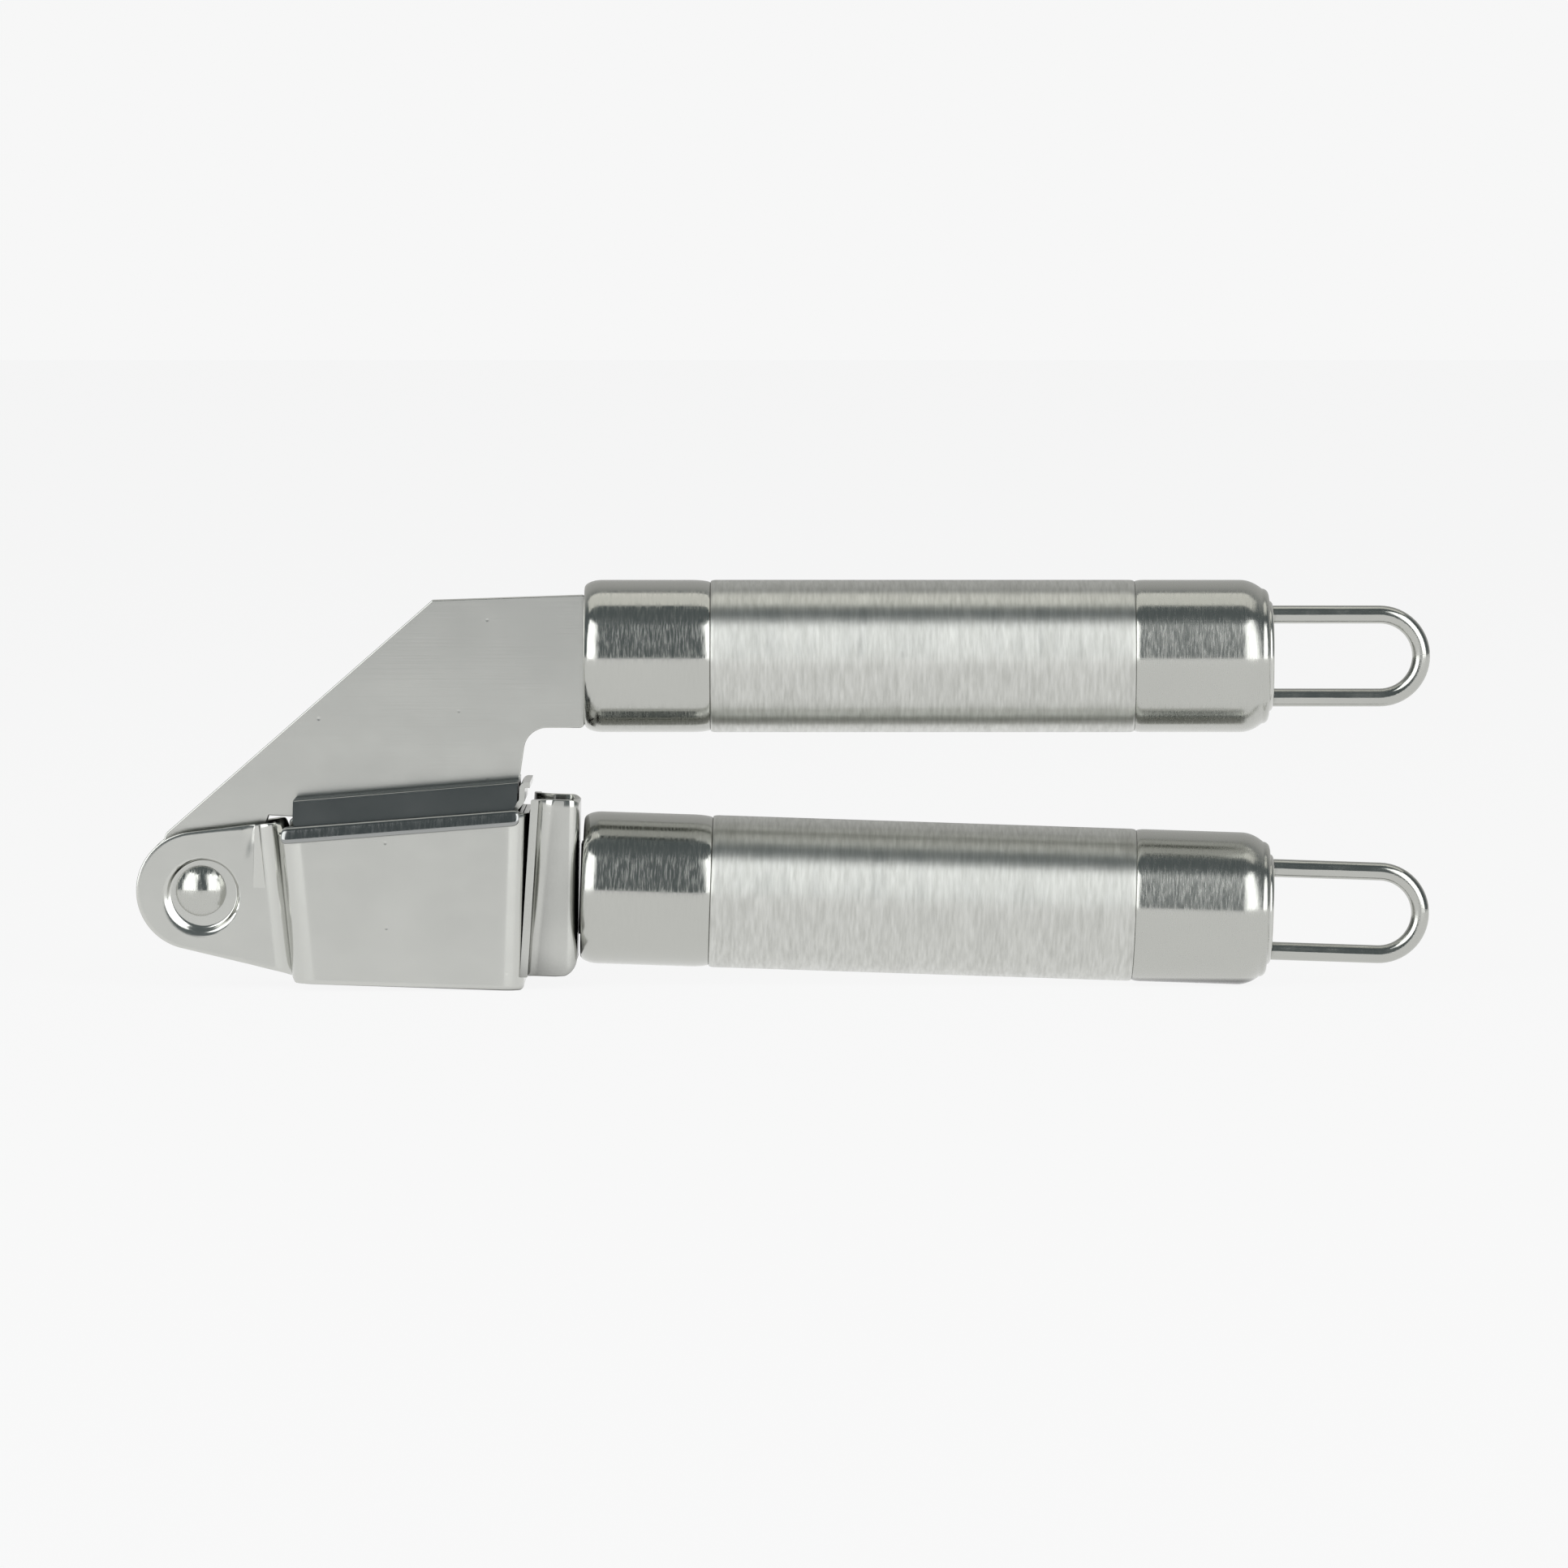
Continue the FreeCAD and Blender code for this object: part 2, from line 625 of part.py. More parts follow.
def make_strainer_basket():
    """Perforated tray inside the frame, with a folded rim over each side wall."""
    depth, thick = size("basket_depth"), size("strainer_sheet")
    gap = size("sheet") + size("strainer_gap")
    high = size("bracket_top") + CLEAR
    hollow = tapered_box(gap + thick, -depth + thick, high + CLEAR)
    tray = tapered_box(gap, -depth, high).cut(hollow)
    rear = size("rear_wall")
    start = size("front_top") - CLEAR
    low_end = size("front_top") + size("front_wall_end")
    risen = size("front_top") + size("front_wall_rise")
    wall_top = [
        (start, -depth - CLEAR),
        (rear, -depth - CLEAR),
        (rear, lip_height(rear) - thick),
        (risen, lip_height(risen) - thick),
        (low_end, lip_height(low_end) - size("front_wall_drop")),
        (start, lip_height(start) - size("front_wall_drop")),
    ]
    tray = tray.common(side_prism(wall_top, [0] * len(wall_top), BEYOND))
    outside = size("frame_half_width") + size("strainer_gap")
    inside = size("frame_half_width") - gap - thick
    front_end, rear_end = size("hem_front"), size("hem_rear")
    high_front, high_rear = lip_height(front_end), lip_height(rear_end)
    deep, bend = size("hem_height"), size("hem_rounding")
    rim = [
        (front_end, high_front - deep),
        (rear_end, high_rear - deep),
        (rear_end, high_rear),
        (front_end, high_front),
    ]
    corner = size("hem_corner")
    rim_solid = side_prism(rim, [bend, bend, corner, corner], outside + thick)
    saddle_front, saddle_rear = front_end - CLEAR, rear_end + CLEAR
    saddle = [
        (saddle_front, lip_height(saddle_front) - thick),
        (saddle_rear, lip_height(saddle_rear) - thick),
        (saddle_rear, -depth),
        (saddle_front, -depth),
    ]
    hems = rim_solid.cut(side_prism(saddle, [0] * len(saddle), outside))
    hems = hems.cut(block(-BEYOND, 2 * BEYOND, -inside, inside, -BEYOND, BEYOND))
    shape = tray.fuse(hems)
    radius, start, through = size("hole_radius"), -depth - CLEAR, thick + 2 * CLEAR
    holes = [
        Part.makeCylinder(radius, through, FreeCAD.Vector(x, y, start))
        for x, y in hole_places(-depth)
    ]
    shape = shape.cut(Part.makeCompound(holes))
    add_feature("strainer_basket", shape.removeSplitter(), True)


def make_neck_bracket():
    """Channel with two flanges on the basket's rear wall; its web carries the handle."""
    thick = size("bracket_sheet")
    flange = size("rear_wall") + thick
    web, half = size("bracket_rear"), size("bracket_half_width")
    edge = size("flange_half_width")
    path = [
        (flange, -edge),
        (flange, -half),
        (web, -half),
        (web, half),
        (flange, half),
        (flange, edge),
    ]
    bends = [0, size("flange_bend"), size("bracket_bend")]
    wire = strip_wire(path, bends + bends[::-1], thick, plan_at(-BEYOND))
    channel = Part.Face(wire).extrude(UP * (2 * BEYOND))
    top, bottom = size("bracket_top"), -size("bracket_bottom")
    front = size("rear_wall") - CLEAR
    corners = [(front, bottom), (web, bottom), (web, top), (front, top)]
    radii = [0, size("bracket_bottom_rounding"), size("bracket_top_rounding"), 0]
    shape = channel.common(side_prism(corners, radii, BEYOND))
    add_feature("neck_bracket", shape, True)


def make_neck_weld():
    """Weld between the bracket's web and the lower front cap."""
    body = new_body("neck_weld", True)
    sketch = new_sketch(body, "neck_weld_section", "XZ_Plane")
    low = "Size.lower_axis_up - Size.neck_weld_half"
    high = "Size.lower_axis_up + Size.neck_weld_half"
    start, end = "Size.bracket_rear", "Size.front_face"
    draw_polygon(sketch, [(start, low), (end, low), (end, high), (start, high)])
    pad_both_ways(body, "neck_weld_run", sketch, "Size.neck_weld_width")


# ---------------------------------------------------------------- pivot


def make_pivot_rivet():
    """Shank with a domed head at each end, seated in the ears' dimples."""
    seat = size("ear_half_width") - size("dimple_depth")
    head, edge = size("head_radius"), size("head_edge")
    height = size("head_height") - edge
    dome = (head**2 + height**2) / (2 * height)
    shape = rod_across(size("rivet_radius"), -seat, seat)
    for side in (-1, 1):
        base = seat if side > 0 else -seat - edge
        collar = rod_across(head, base, base + edge)
        centre = ACROSS * (side * (seat + edge + height - dome))
        ball = Part.makeSphere(dome, centre)
        start = seat + edge if side > 0 else -seat - edge - height
        cap = ball.common(rod_across(head, start, start + height))
        shape = shape.fuse(collar).fuse(cap)
    add_feature("pivot_rivet", shape.removeSplitter(), True)


def make_spacer(label, side):
    """Ring on the rivet between one ear's dimple and the arm."""
    body = new_body(label, True)
    sketch = new_sketch(body, f"{label}_section", "XY_Plane")
    sign = "-1" if side < 0 else "1"
    near = f"{sign} * (Size.arm_thickness / 2 + Size.side_play)"
    far = f"{sign} * (Size.ear_half_width - Size.dimple_depth - Size.sheet)"
    inner = "Size.rivet_radius + Size.fixed_gap"
    outer = "Size.spacer_radius"
    draw_polygon(sketch, [(inner, near), (outer, near), (outer, far), (inner, far)])
    turn_about(body, f"{label}_turned", sketch, "V_Axis")


# ---------------------------------------------------------------- handles


def handle_axis(lower):
    """Expression for a handle axis's height over the pivot."""
    return "Size.lower_axis_up" if lower else "Size.upper_axis_up"


def new_handle_body(label, lower):
    """An empty body whose X axis is a handle's axis."""
    body = new_body(label, lower)
    rise = UP * value(handle_axis(lower))
    body.Placement = body.Placement * FreeCAD.Placement(rise, FreeCAD.Rotation())
    return body


def turned_on_handle(label, lower, profile):
    """A body turned about a handle's axis from pairs of (along, radius) expressions."""
    body = new_handle_body(label, lower)
    sketch = new_sketch(body, f"{label}_profile", "XZ_Plane")
    draw_polygon(sketch, profile)
    turn_about(body, f"{label}_turned", sketch, "H_Axis")
    return body


TUBE_INSIDE = "Size.tube_radius - Size.tube_wall"
SPIGOT_OUTSIDE = "Size.tube_radius - Size.tube_wall - Size.spigot_gap"
SPIGOT_INSIDE = SPIGOT_OUTSIDE + " - Size.spigot_wall"


def make_front_cap(lower):
    """Cup with a rounded front rim and a spigot that fits the tube."""
    label = "lower_front_cap" if lower else "upper_front_cap"
    face = "Size.front_face" if lower else "Size.upper_front_face"
    spigot_end = "Size.front_seam + Size.spigot_length"
    profile = [
        (face, "0"),
        (face, "Size.tube_radius"),
        ("Size.front_seam", "Size.tube_radius"),
        ("Size.front_seam", SPIGOT_OUTSIDE),
        (spigot_end, SPIGOT_OUTSIDE),
        (spigot_end, SPIGOT_INSIDE),
        (f"{face} + Size.cap_wall", SPIGOT_INSIDE),
        (f"{face} + Size.cap_wall", "0"),
    ]
    body = turned_on_handle(label, lower, profile)
    rim = ring_at(face, "Size.tube_radius")
    seam = ring_at("Size.front_seam", "Size.tube_radius")
    round_edges(body, f"{label}_rim", "Size.front_rounding", rim)
    round_edges(body, f"{label}_seam", "Size.seam_rounding", seam)
    if not lower:
        slot = new_sketch(body, "tang_slot", "XZ_Plane")
        reach = "Size.tang_half_height + Size.tang_gap"
        start, end = f"{face} - {CLEAR}", f"{face} + Size.cap_wall + {CLEAR}"
        low = f"-({reach})"
        draw_polygon(slot, [(start, low), (end, low), (end, reach), (start, reach)])
        width = "Size.arm_thickness + 2 * Size.tang_gap"
        pocket_both_ways(body, "tang_slot_cut", slot, width)


def make_handle_tube(lower):
    """Plain brushed tube between the caps."""
    label = "lower_handle_tube" if lower else "upper_handle_tube"
    profile = [
        ("Size.front_seam", TUBE_INSIDE),
        ("Size.front_seam", "Size.tube_radius"),
        ("Size.rear_seam", "Size.tube_radius"),
        ("Size.rear_seam", TUBE_INSIDE),
    ]
    body = turned_on_handle(label, lower, profile)
    ends = [ring_at(f"Size.{s}", "Size.tube_radius") for s in ("front_seam", "rear_seam")]
    round_edges(
        body,
        f"{label}_ends",
        "Size.seam_rounding",
        lambda edge: any(end(edge) for end in ends),
    )


def make_rear_cap(lower):
    """Cap that necks down to a rounded rim round the end plug."""
    label = "lower_rear_cap" if lower else "upper_rear_cap"
    spigot_end = "Size.rear_seam - Size.spigot_length"
    inside = "Size.plug_radius"
    plug_seat = "Size.plug_face - Size.plug_thickness"
    profile = [
        (spigot_end, SPIGOT_INSIDE),
        (spigot_end, SPIGOT_OUTSIDE),
        ("Size.rear_seam", SPIGOT_OUTSIDE),
        ("Size.rear_seam", "Size.tube_radius"),
        ("Size.shoulder", "Size.tube_radius"),
        ("Size.shoulder_end", "Size.neck_radius"),
        ("Size.rear_face", "Size.rim_radius"),
        ("Size.rear_face", inside),
        (f"{plug_seat} - Size.cap_wall", inside),
        (f"{plug_seat} - Size.cap_wall", SPIGOT_INSIDE),
    ]
    body = turned_on_handle(label, lower, profile)
    seam = ring_at("Size.rear_seam", "Size.tube_radius")
    rim = ring_at("Size.rear_face", "Size.rim_radius")
    shoulder = ring_at("Size.shoulder", "Size.tube_radius")
    round_edges(body, f"{label}_seam", "Size.seam_rounding", seam)
    round_edges(body, f"{label}_rim", "Size.rim_rounding", rim)
    round_edges(body, f"{label}_shoulder", "Size.front_rounding", shoulder)


def make_end_plug(lower):
    """Disc in the rear cap's mouth with a hole for each leg of the hanging loop."""
    label = "lower_end_plug" if lower else "upper_end_plug"
    start = "Size.plug_face - Size.plug_thickness"
    profile = [
        (start, "0"),
        (start, "Size.plug_radius"),
        ("Size.plug_face", "Size.plug_radius"),
        ("Size.plug_face", "0"),
    ]
    body = turned_on_handle(label, lower, profile)
    edge = ring_at("Size.plug_face", "Size.plug_radius")
    round_edges(body, f"{label}_edge", "Size.plug_rounding", edge)
    before = body.Shape.Volume
    holes = new_sketch(body, f"{label}_leg_holes", "YZ_Plane", value(start) - CLEAR)
    for leg in ("Size.leg_offset", "-Size.leg_offset"):
        draw_circle(holes, "0", leg, "Size.wire_radius + Size.wire_gap")
    pocket = body.newObject("PartDesign::Pocket", f"{label}_leg_bores")
    pocket.Profile = holes
    pocket.Reversed = True
    pocket.setExpression("Length", f"Size.plug_thickness + {2 * CLEAR}")
    doc.recompute()
    if body.Shape.Volume > before - LEAST_CUT:
        raise RuntimeError(f"{label} has no leg holes")


def make_hanging_loop(lower):
    """Round wire bent into a long U, its legs held in the end plug."""
    label = "lower_hanging_loop" if lower else "upper_hanging_loop"
    body = new_handle_body(label, lower)
    path = new_sketch(body, f"{label}_path", "XZ_Plane")
    start, leg = value("Size.wire_start"), value("Size.leg_offset")
    bend = "Size.loop_reach - Size.wire_radius - Size.leg_offset"
    centre = FreeCAD.Vector(value(bend), 0, 0)
    upper_leg = Part.LineSegment(
        FreeCAD.Vector(start, leg, 0), FreeCAD.Vector(centre.x, leg, 0)
    )
    lower_leg = Part.LineSegment(
        FreeCAD.Vector(centre.x, -leg, 0), FreeCAD.Vector(start, -leg, 0)
    )
    circle = Part.Circle(centre, UP, leg)
    path.addGeometry(upper_leg)
    path.addGeometry(Part.ArcOfCircle(circle, -math.pi / 2, math.pi / 2))
    path.addGeometry(lower_leg)
    path.addConstraint(Sketcher.Constraint("Coincident", 0, 2, 1, 2))
    path.addConstraint(Sketcher.Constraint("Coincident", 1, 1, 2, 1))
    bind_point(path, 0, 1, "Size.wire_start", "Size.leg_offset")
    bind_point(path, 0, 2, bend, "Size.leg_offset")
    bind_point(path, 2, 1, bend, "-Size.leg_offset")
    bind_point(path, 2, 2, "Size.wire_start", "-Size.leg_offset")
    section = new_sketch(body, f"{label}_section", "YZ_Plane", start)
    draw_circle(section, "0", "Size.leg_offset", "Size.wire_radius")
    doc.recompute()
    pipe = body.newObject("PartDesign::AdditivePipe", f"{label}_wire")
    pipe.Profile = section
    pipe.Spine = path
    doc.recompute()


# ---------------------------------------------------------------- upper lever: arm and plunger


def on_upper(along, up):
    """A point drawn on the lower lever, as the upper lever sees it at rest."""
    turned = along * math.cos(LEAN) + up * math.sin(LEAN)
    return turned, up * math.cos(LEAN) - along * math.sin(LEAN)


def make_press_arm():
    """Flat plate from the rivet over the basket to the handle, with a tang in the cap."""
    body = new_body("press_arm", False)
    sketch = new_sketch(body, "arm_outline", "XZ_Plane")
    face, axis = "Size.upper_front_face", "Size.upper_axis_up"
    peak = ("Size.arm_peak", "Size.arm_peak_up")
    heel = ("Size.arm_heel", "Size.arm_heel_up")
    inner = ("Size.arm_back", "Size.arm_under")
    lower_end = (face, "Size.arm_under")
    draw_polygon(
        sketch,
        [
            peak,
            heel,
            ("-Size.boss_start", "Size.boss_start_up"),
            ("Size.arm_boss / 2", "-Size.arm_boss / 2"),
            ("Size.throat", "Size.throat_up"),
            ("Size.foot_front", "Size.foot_front_up"),
            ("Size.foot_front", "-Size.foot_front_drop"),
            ("Size.foot_rear", "-Size.foot_rear_drop"),
            ("Size.foot_bulge", "0"),
            ("Size.foot_neck", "Size.foot_neck_up"),
            ("Size.foot_step", "Size.foot_step_up"),
            ("Size.arm_back_low", "Size.arm_back_low_up"),
            inner,
            lower_end,
            (face, f"{axis} - Size.tang_half_height"),
            (f"{face} + Size.tang_length", f"{axis} - Size.tang_half_height"),
            (f"{face} + Size.tang_length", f"{axis} + Size.tang_half_height"),
            (face, f"{axis} + Size.tang_half_height"),
            (face, "Size.arm_end_up"),
        ],
    )
    pad_both_ways(body, "arm_plate", sketch, "Size.arm_thickness")
    boss = new_sketch(body, "arm_boss_outline", "XZ_Plane")
    draw_circle(boss, "0", "0", "Size.arm_boss")
    pad_both_ways(body, "arm_boss_plate", boss, "Size.arm_thickness")
    round_edges(body, "arm_inner_corner", "Size.arm_fillet", corner_at(inner))
    round_edges(body, "arm_outer_corners", "Size.arm_corner", corner_at(lower_end, heel))
    bore = new_sketch(body, "arm_bore_outline", "XZ_Plane")
    draw_circle(bore, "0", "0", "Size.rivet_radius + Size.rivet_gap")
    through = f"Size.arm_thickness + {2 * CLEAR}"
    pocket_both_ways(body, "arm_bore", bore, through)


def make_arm_weld():
    """Two beads that hold the tang inside the upper front cap."""
    face = size("upper_front_face") + size("cap_wall")
    leg, half = size("weld_leg"), size("arm_thickness") / 2
    reach = size("tang_half_height") - size("weld_inset")
    low, high = size("upper_axis_up") - reach, size("upper_axis_up") + reach
    beads = []
    for side in (-1, 1):
        points = [
            FreeCAD.Vector(face, side * half, low),
            FreeCAD.Vector(face + leg, side * half, low),
            FreeCAD.Vector(face, side * (half + leg), low),
        ]
        wire = Part.makePolygon(points + points[:1])
        beads.append(Part.Face(wire).extrude(UP * (high - low)))
    add_feature("arm_weld", Part.makeCompound(beads), False)


def plunger_prism(half_width):
    """Side view of the plunger, which clears the basket as it swings up."""
    floor = size("strainer_sheet") + size("press_gap") - size("basket_depth")
    foot = floor + size("plunger_sheet")
    lowered = [
        (size("shell_toe"), foot),
        (size("shell_knee"), size("shell_knee_up")),
        (size("shell_brow"), size("shell_brow_up")),
        (size("shell_front"), BEYOND),
        (size("shell_rear"), BEYOND),
        (size("shell_rear"), size("press_tab_up")),
        (size("shell_neck"), size("shell_neck_up")),
        (size("shell_bulge"), size("shell_bulge_up")),
        (size("shell_heel"), foot),
    ]
    corners = [on_upper(x, z) for x, z in lowered]
    return side_prism(corners, [0] * len(corners), half_width)


def make_plunger_shell(label, side):
    """Folded half channel beside the arm: half of the top and one side wall."""
    top, thick = size("plunger_top"), size("plunger_sheet")
    deep = top - 2 * size("basket_depth")
    middle = size("arm_thickness") / 2
    path = [
        (side * middle, top),
        (side * size("shoulder_half_width"), top),
        (side * size("plunger_half_width"), deep),
    ]
    radii = [0, size("plunger_bend"), 0]
    wire = strip_wire(path, radii, -side * thick, end_view)
    channel = Part.Face(wire).extrude(ALONG * (size("rear_wall") + BEYOND))
    channel.rotate(FreeCAD.Vector(), ACROSS, -size("plunger_slope"))
    shape = channel.common(plunger_prism(BEYOND))
    add_feature(label, shape, False)


def make_pressing_plate():
    """Strip with the flat pressing face, turned up at both ends and curled at the rear."""
    floor = size("strainer_sheet") + size("press_gap") - size("basket_depth")
    bend = size("press_bend")
    lowered = [
        (size("press_curl"), size("press_curl_up")),
        (size("press_tab"), size("press_curl_up")),
        (size("press_tab"), size("press_tab_up")),
        (size("press_step"), size("press_step_up")),
        (size("press_bulge"), size("press_bulge_up")),
        (size("press_heel"), floor),
        (size("press_toe"), floor),
        (size("press_toe_top"), size("press_toe_up")),
    ]
    path = [on_upper(x, z) for x, z in lowered]
    radii = [0, bend / 8, bend / 2, bend / 2, 2 * bend, bend, bend, 0]
    wire = strip_wire(path, radii, -size("plunger_sheet"), side_view)
    face = Part.Face(wire)
    half = size("press_half_width")
    face.translate(ACROSS * -half)
    add_feature("pressing_plate", face.extrude(ACROSS * (2 * half)), False)


# ---------------------------------------------------------------- build and write

make_basket_frame()
make_strainer_basket()
make_neck_bracket()
make_neck_weld()
make_pivot_rivet()
make_spacer("pivot_spacer_near", -1)
make_spacer("pivot_spacer_far", 1)
make_press_arm()
make_arm_weld()
make_plunger_shell("plunger_near_shell", -1)
make_plunger_shell("plunger_far_shell", 1)
make_pressing_plate()
for on_lower_lever in (True, False):
    make_front_cap(on_lower_lever)
    make_handle_tube(on_lower_lever)
    make_rear_cap(on_lower_lever)
    make_end_plug(on_lower_lever)
    make_hanging_loop(on_lower_lever)
doc.recompute()

pieces = [
    piece
    for piece in doc.Objects
    if piece.TypeId in ("PartDesign::Body", "Part::Feature")
]
for item in doc.Objects:
    if {"Invalid", "Error"} & set(item.State):
        raise RuntimeError(f"{item.Label} failed: {item.State}")
for piece in pieces:
    if piece.Shape.isNull() or not piece.Shape.isValid() or not piece.Shape.Solids:
        raise RuntimeError(f"{piece.Label} has no sound shape")

os.makedirs("parts", exist_ok=True)
for piece in pieces:
    piece.Shape.exportStep(os.path.join("parts", f"{piece.Label}.step"))
    box = piece.Shape.BoundBox
    print(
        f"{piece.Label}: {len(piece.Shape.Solids)} solid,"
        f" {piece.Shape.Volume:.1f} mm3,"
        f" X {box.XMin:.2f} {box.XMax:.2f}"
        f" Y {box.YMin:.2f} {box.YMax:.2f} Z {box.ZMin:.2f} {box.ZMax:.2f}"
    )
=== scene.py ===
import json
import math

import bmesh
import bpy
from mathutils import Matrix, Vector


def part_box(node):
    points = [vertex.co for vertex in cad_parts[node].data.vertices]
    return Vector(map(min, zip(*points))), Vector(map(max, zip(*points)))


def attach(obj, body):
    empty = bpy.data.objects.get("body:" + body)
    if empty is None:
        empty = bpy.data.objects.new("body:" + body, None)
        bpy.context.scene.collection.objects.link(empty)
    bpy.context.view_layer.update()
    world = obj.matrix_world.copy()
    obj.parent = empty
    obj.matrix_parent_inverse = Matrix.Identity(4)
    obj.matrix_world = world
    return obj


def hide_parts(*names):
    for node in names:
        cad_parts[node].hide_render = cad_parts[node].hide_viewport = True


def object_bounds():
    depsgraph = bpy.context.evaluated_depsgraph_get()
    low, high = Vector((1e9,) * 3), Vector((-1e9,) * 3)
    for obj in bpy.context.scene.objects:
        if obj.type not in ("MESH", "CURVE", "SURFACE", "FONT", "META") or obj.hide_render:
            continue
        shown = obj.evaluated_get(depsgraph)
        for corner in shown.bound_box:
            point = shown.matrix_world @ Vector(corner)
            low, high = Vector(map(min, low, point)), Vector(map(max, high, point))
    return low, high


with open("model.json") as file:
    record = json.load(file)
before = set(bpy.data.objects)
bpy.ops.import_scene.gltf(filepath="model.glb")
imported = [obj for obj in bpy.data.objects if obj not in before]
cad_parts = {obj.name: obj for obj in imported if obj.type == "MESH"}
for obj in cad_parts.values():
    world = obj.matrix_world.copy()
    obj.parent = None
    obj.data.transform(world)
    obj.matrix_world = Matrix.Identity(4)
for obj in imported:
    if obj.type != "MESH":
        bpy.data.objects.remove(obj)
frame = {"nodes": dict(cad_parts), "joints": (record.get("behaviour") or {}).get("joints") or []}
cad_low, cad_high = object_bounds()

# Garlic press of polished and satin stainless steel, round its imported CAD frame.
#
# Shapes are drawn in millimetres on a lever: "along" runs from the pivot down the handle, "out"
# is across the press (the near side is negative) and "up" is square to both.

MM = 0.001
NEAR, FAR = -1, 1


# ---- places read from the frame


def corners(node):
    """Lowest and highest corner of a CAD node, in millimetres."""
    low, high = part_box(node)
    return low / MM, high / MM


def middle(node):
    """Centre of a CAD node's box, in millimetres."""
    low, high = corners(node)
    return (low + high) / 2


PIVOT = Vector(frame["joints"][0]["pos_m"]) / MM
LEAN = math.atan2(
    middle("lower_front_cap").z - middle("lower_end_plug").z,
    middle("lower_end_plug").x - middle("lower_front_cap").x,
)
UPPER = Matrix.Translation(PIVOT * MM)
LOWER = UPPER @ Matrix.Rotation(LEAN, 4, "Y")


def on_lower(point):
    """A point of the row frame as the lower lever sees it, in millimetres."""
    return (LOWER.inverted() @ (point * MM)) / MM


tube_low, tube_high = corners("upper_handle_tube")
TUBE_RADIUS = (tube_high.z - tube_low.z) / 2
FRONT_SEAM = tube_low.x - PIVOT.x
REAR_SEAM = tube_high.x - PIVOT.x
UPPER_FACE = corners("upper_front_cap")[0].x - PIVOT.x
REAR_FACE = corners("upper_rear_cap")[1].x - PIVOT.x
PLUG_FACE = corners("upper_end_plug")[1].x - PIVOT.x
PLUG_RADIUS = corners("upper_end_plug")[1].y
LOOP_END = corners("upper_hanging_loop")[1].x - PIVOT.x
WIRE_RADIUS = corners("upper_hanging_loop")[1].y
LEG_OFFSET = (
    corners("upper_hanging_loop")[1].z - middle("upper_hanging_loop").z - WIRE_RADIUS
)
UPPER_AXIS = middle("upper_handle_tube").z - PIVOT.z
LOWER_AXIS = on_lower(middle("lower_handle_tube")).z
SPIGOT = 6.0  # how far a cap reaches into its tube
LOWER_FACE = 2 * on_lower(middle("lower_front_cap")).x - FRONT_SEAM - SPIGOT
FRAME_HALF = corners("basket_frame")[1].y
HEM_HALF = corners("strainer_basket")[1].y
ARM_HALF = corners("press_arm")[1].y
RIVET_TOP = corners("pivot_rivet")[1].y

# ---- camera

CAMERA_DISTANCE = 1.5
CAMERA_ELEVATION = math.radians(3.2)
FIELD_OF_VIEW = math.radians(8.64)
AIM_DOWN = 0.00026  # the middle of the view below the middle of the press

camera_data = bpy.data.cameras.new("camera")
camera_data.lens = camera_data.sensor_width / 2 / math.tan(FIELD_OF_VIEW / 2)
camera = bpy.data.objects.new("camera", camera_data)
bpy.context.scene.collection.objects.link(camera)
aim = (cad_low + cad_high) / 2 - Vector((0, 0, AIM_DOWN))
back = Vector((0, -math.cos(CAMERA_ELEVATION), math.sin(CAMERA_ELEVATION)))
camera.location = aim + back * CAMERA_DISTANCE
camera.rotation_euler = (-back).to_track_quat("-Z", "Y").to_euler()
bpy.context.scene.camera = camera

# ---- materials

STEEL = (0.625, 0.63, 0.60, 1)
# a darker copy of the steel: shade painted into the plunger's and the rims' colour
PAINTED_SHADE_STEEL = (0.36, 0.37, 0.365, 1)
BRIGHT_STEEL = (0.53, 0.535, 0.505, 1)
DARK_STEEL = (0.22, 0.21, 0.20, 1)
TUBE_LINES = (0.52, 0.525, 0.495, 1)  # the darker brush marks of the tubes
TUBE_STEEL = (0.70, 0.705, 0.675, 1)


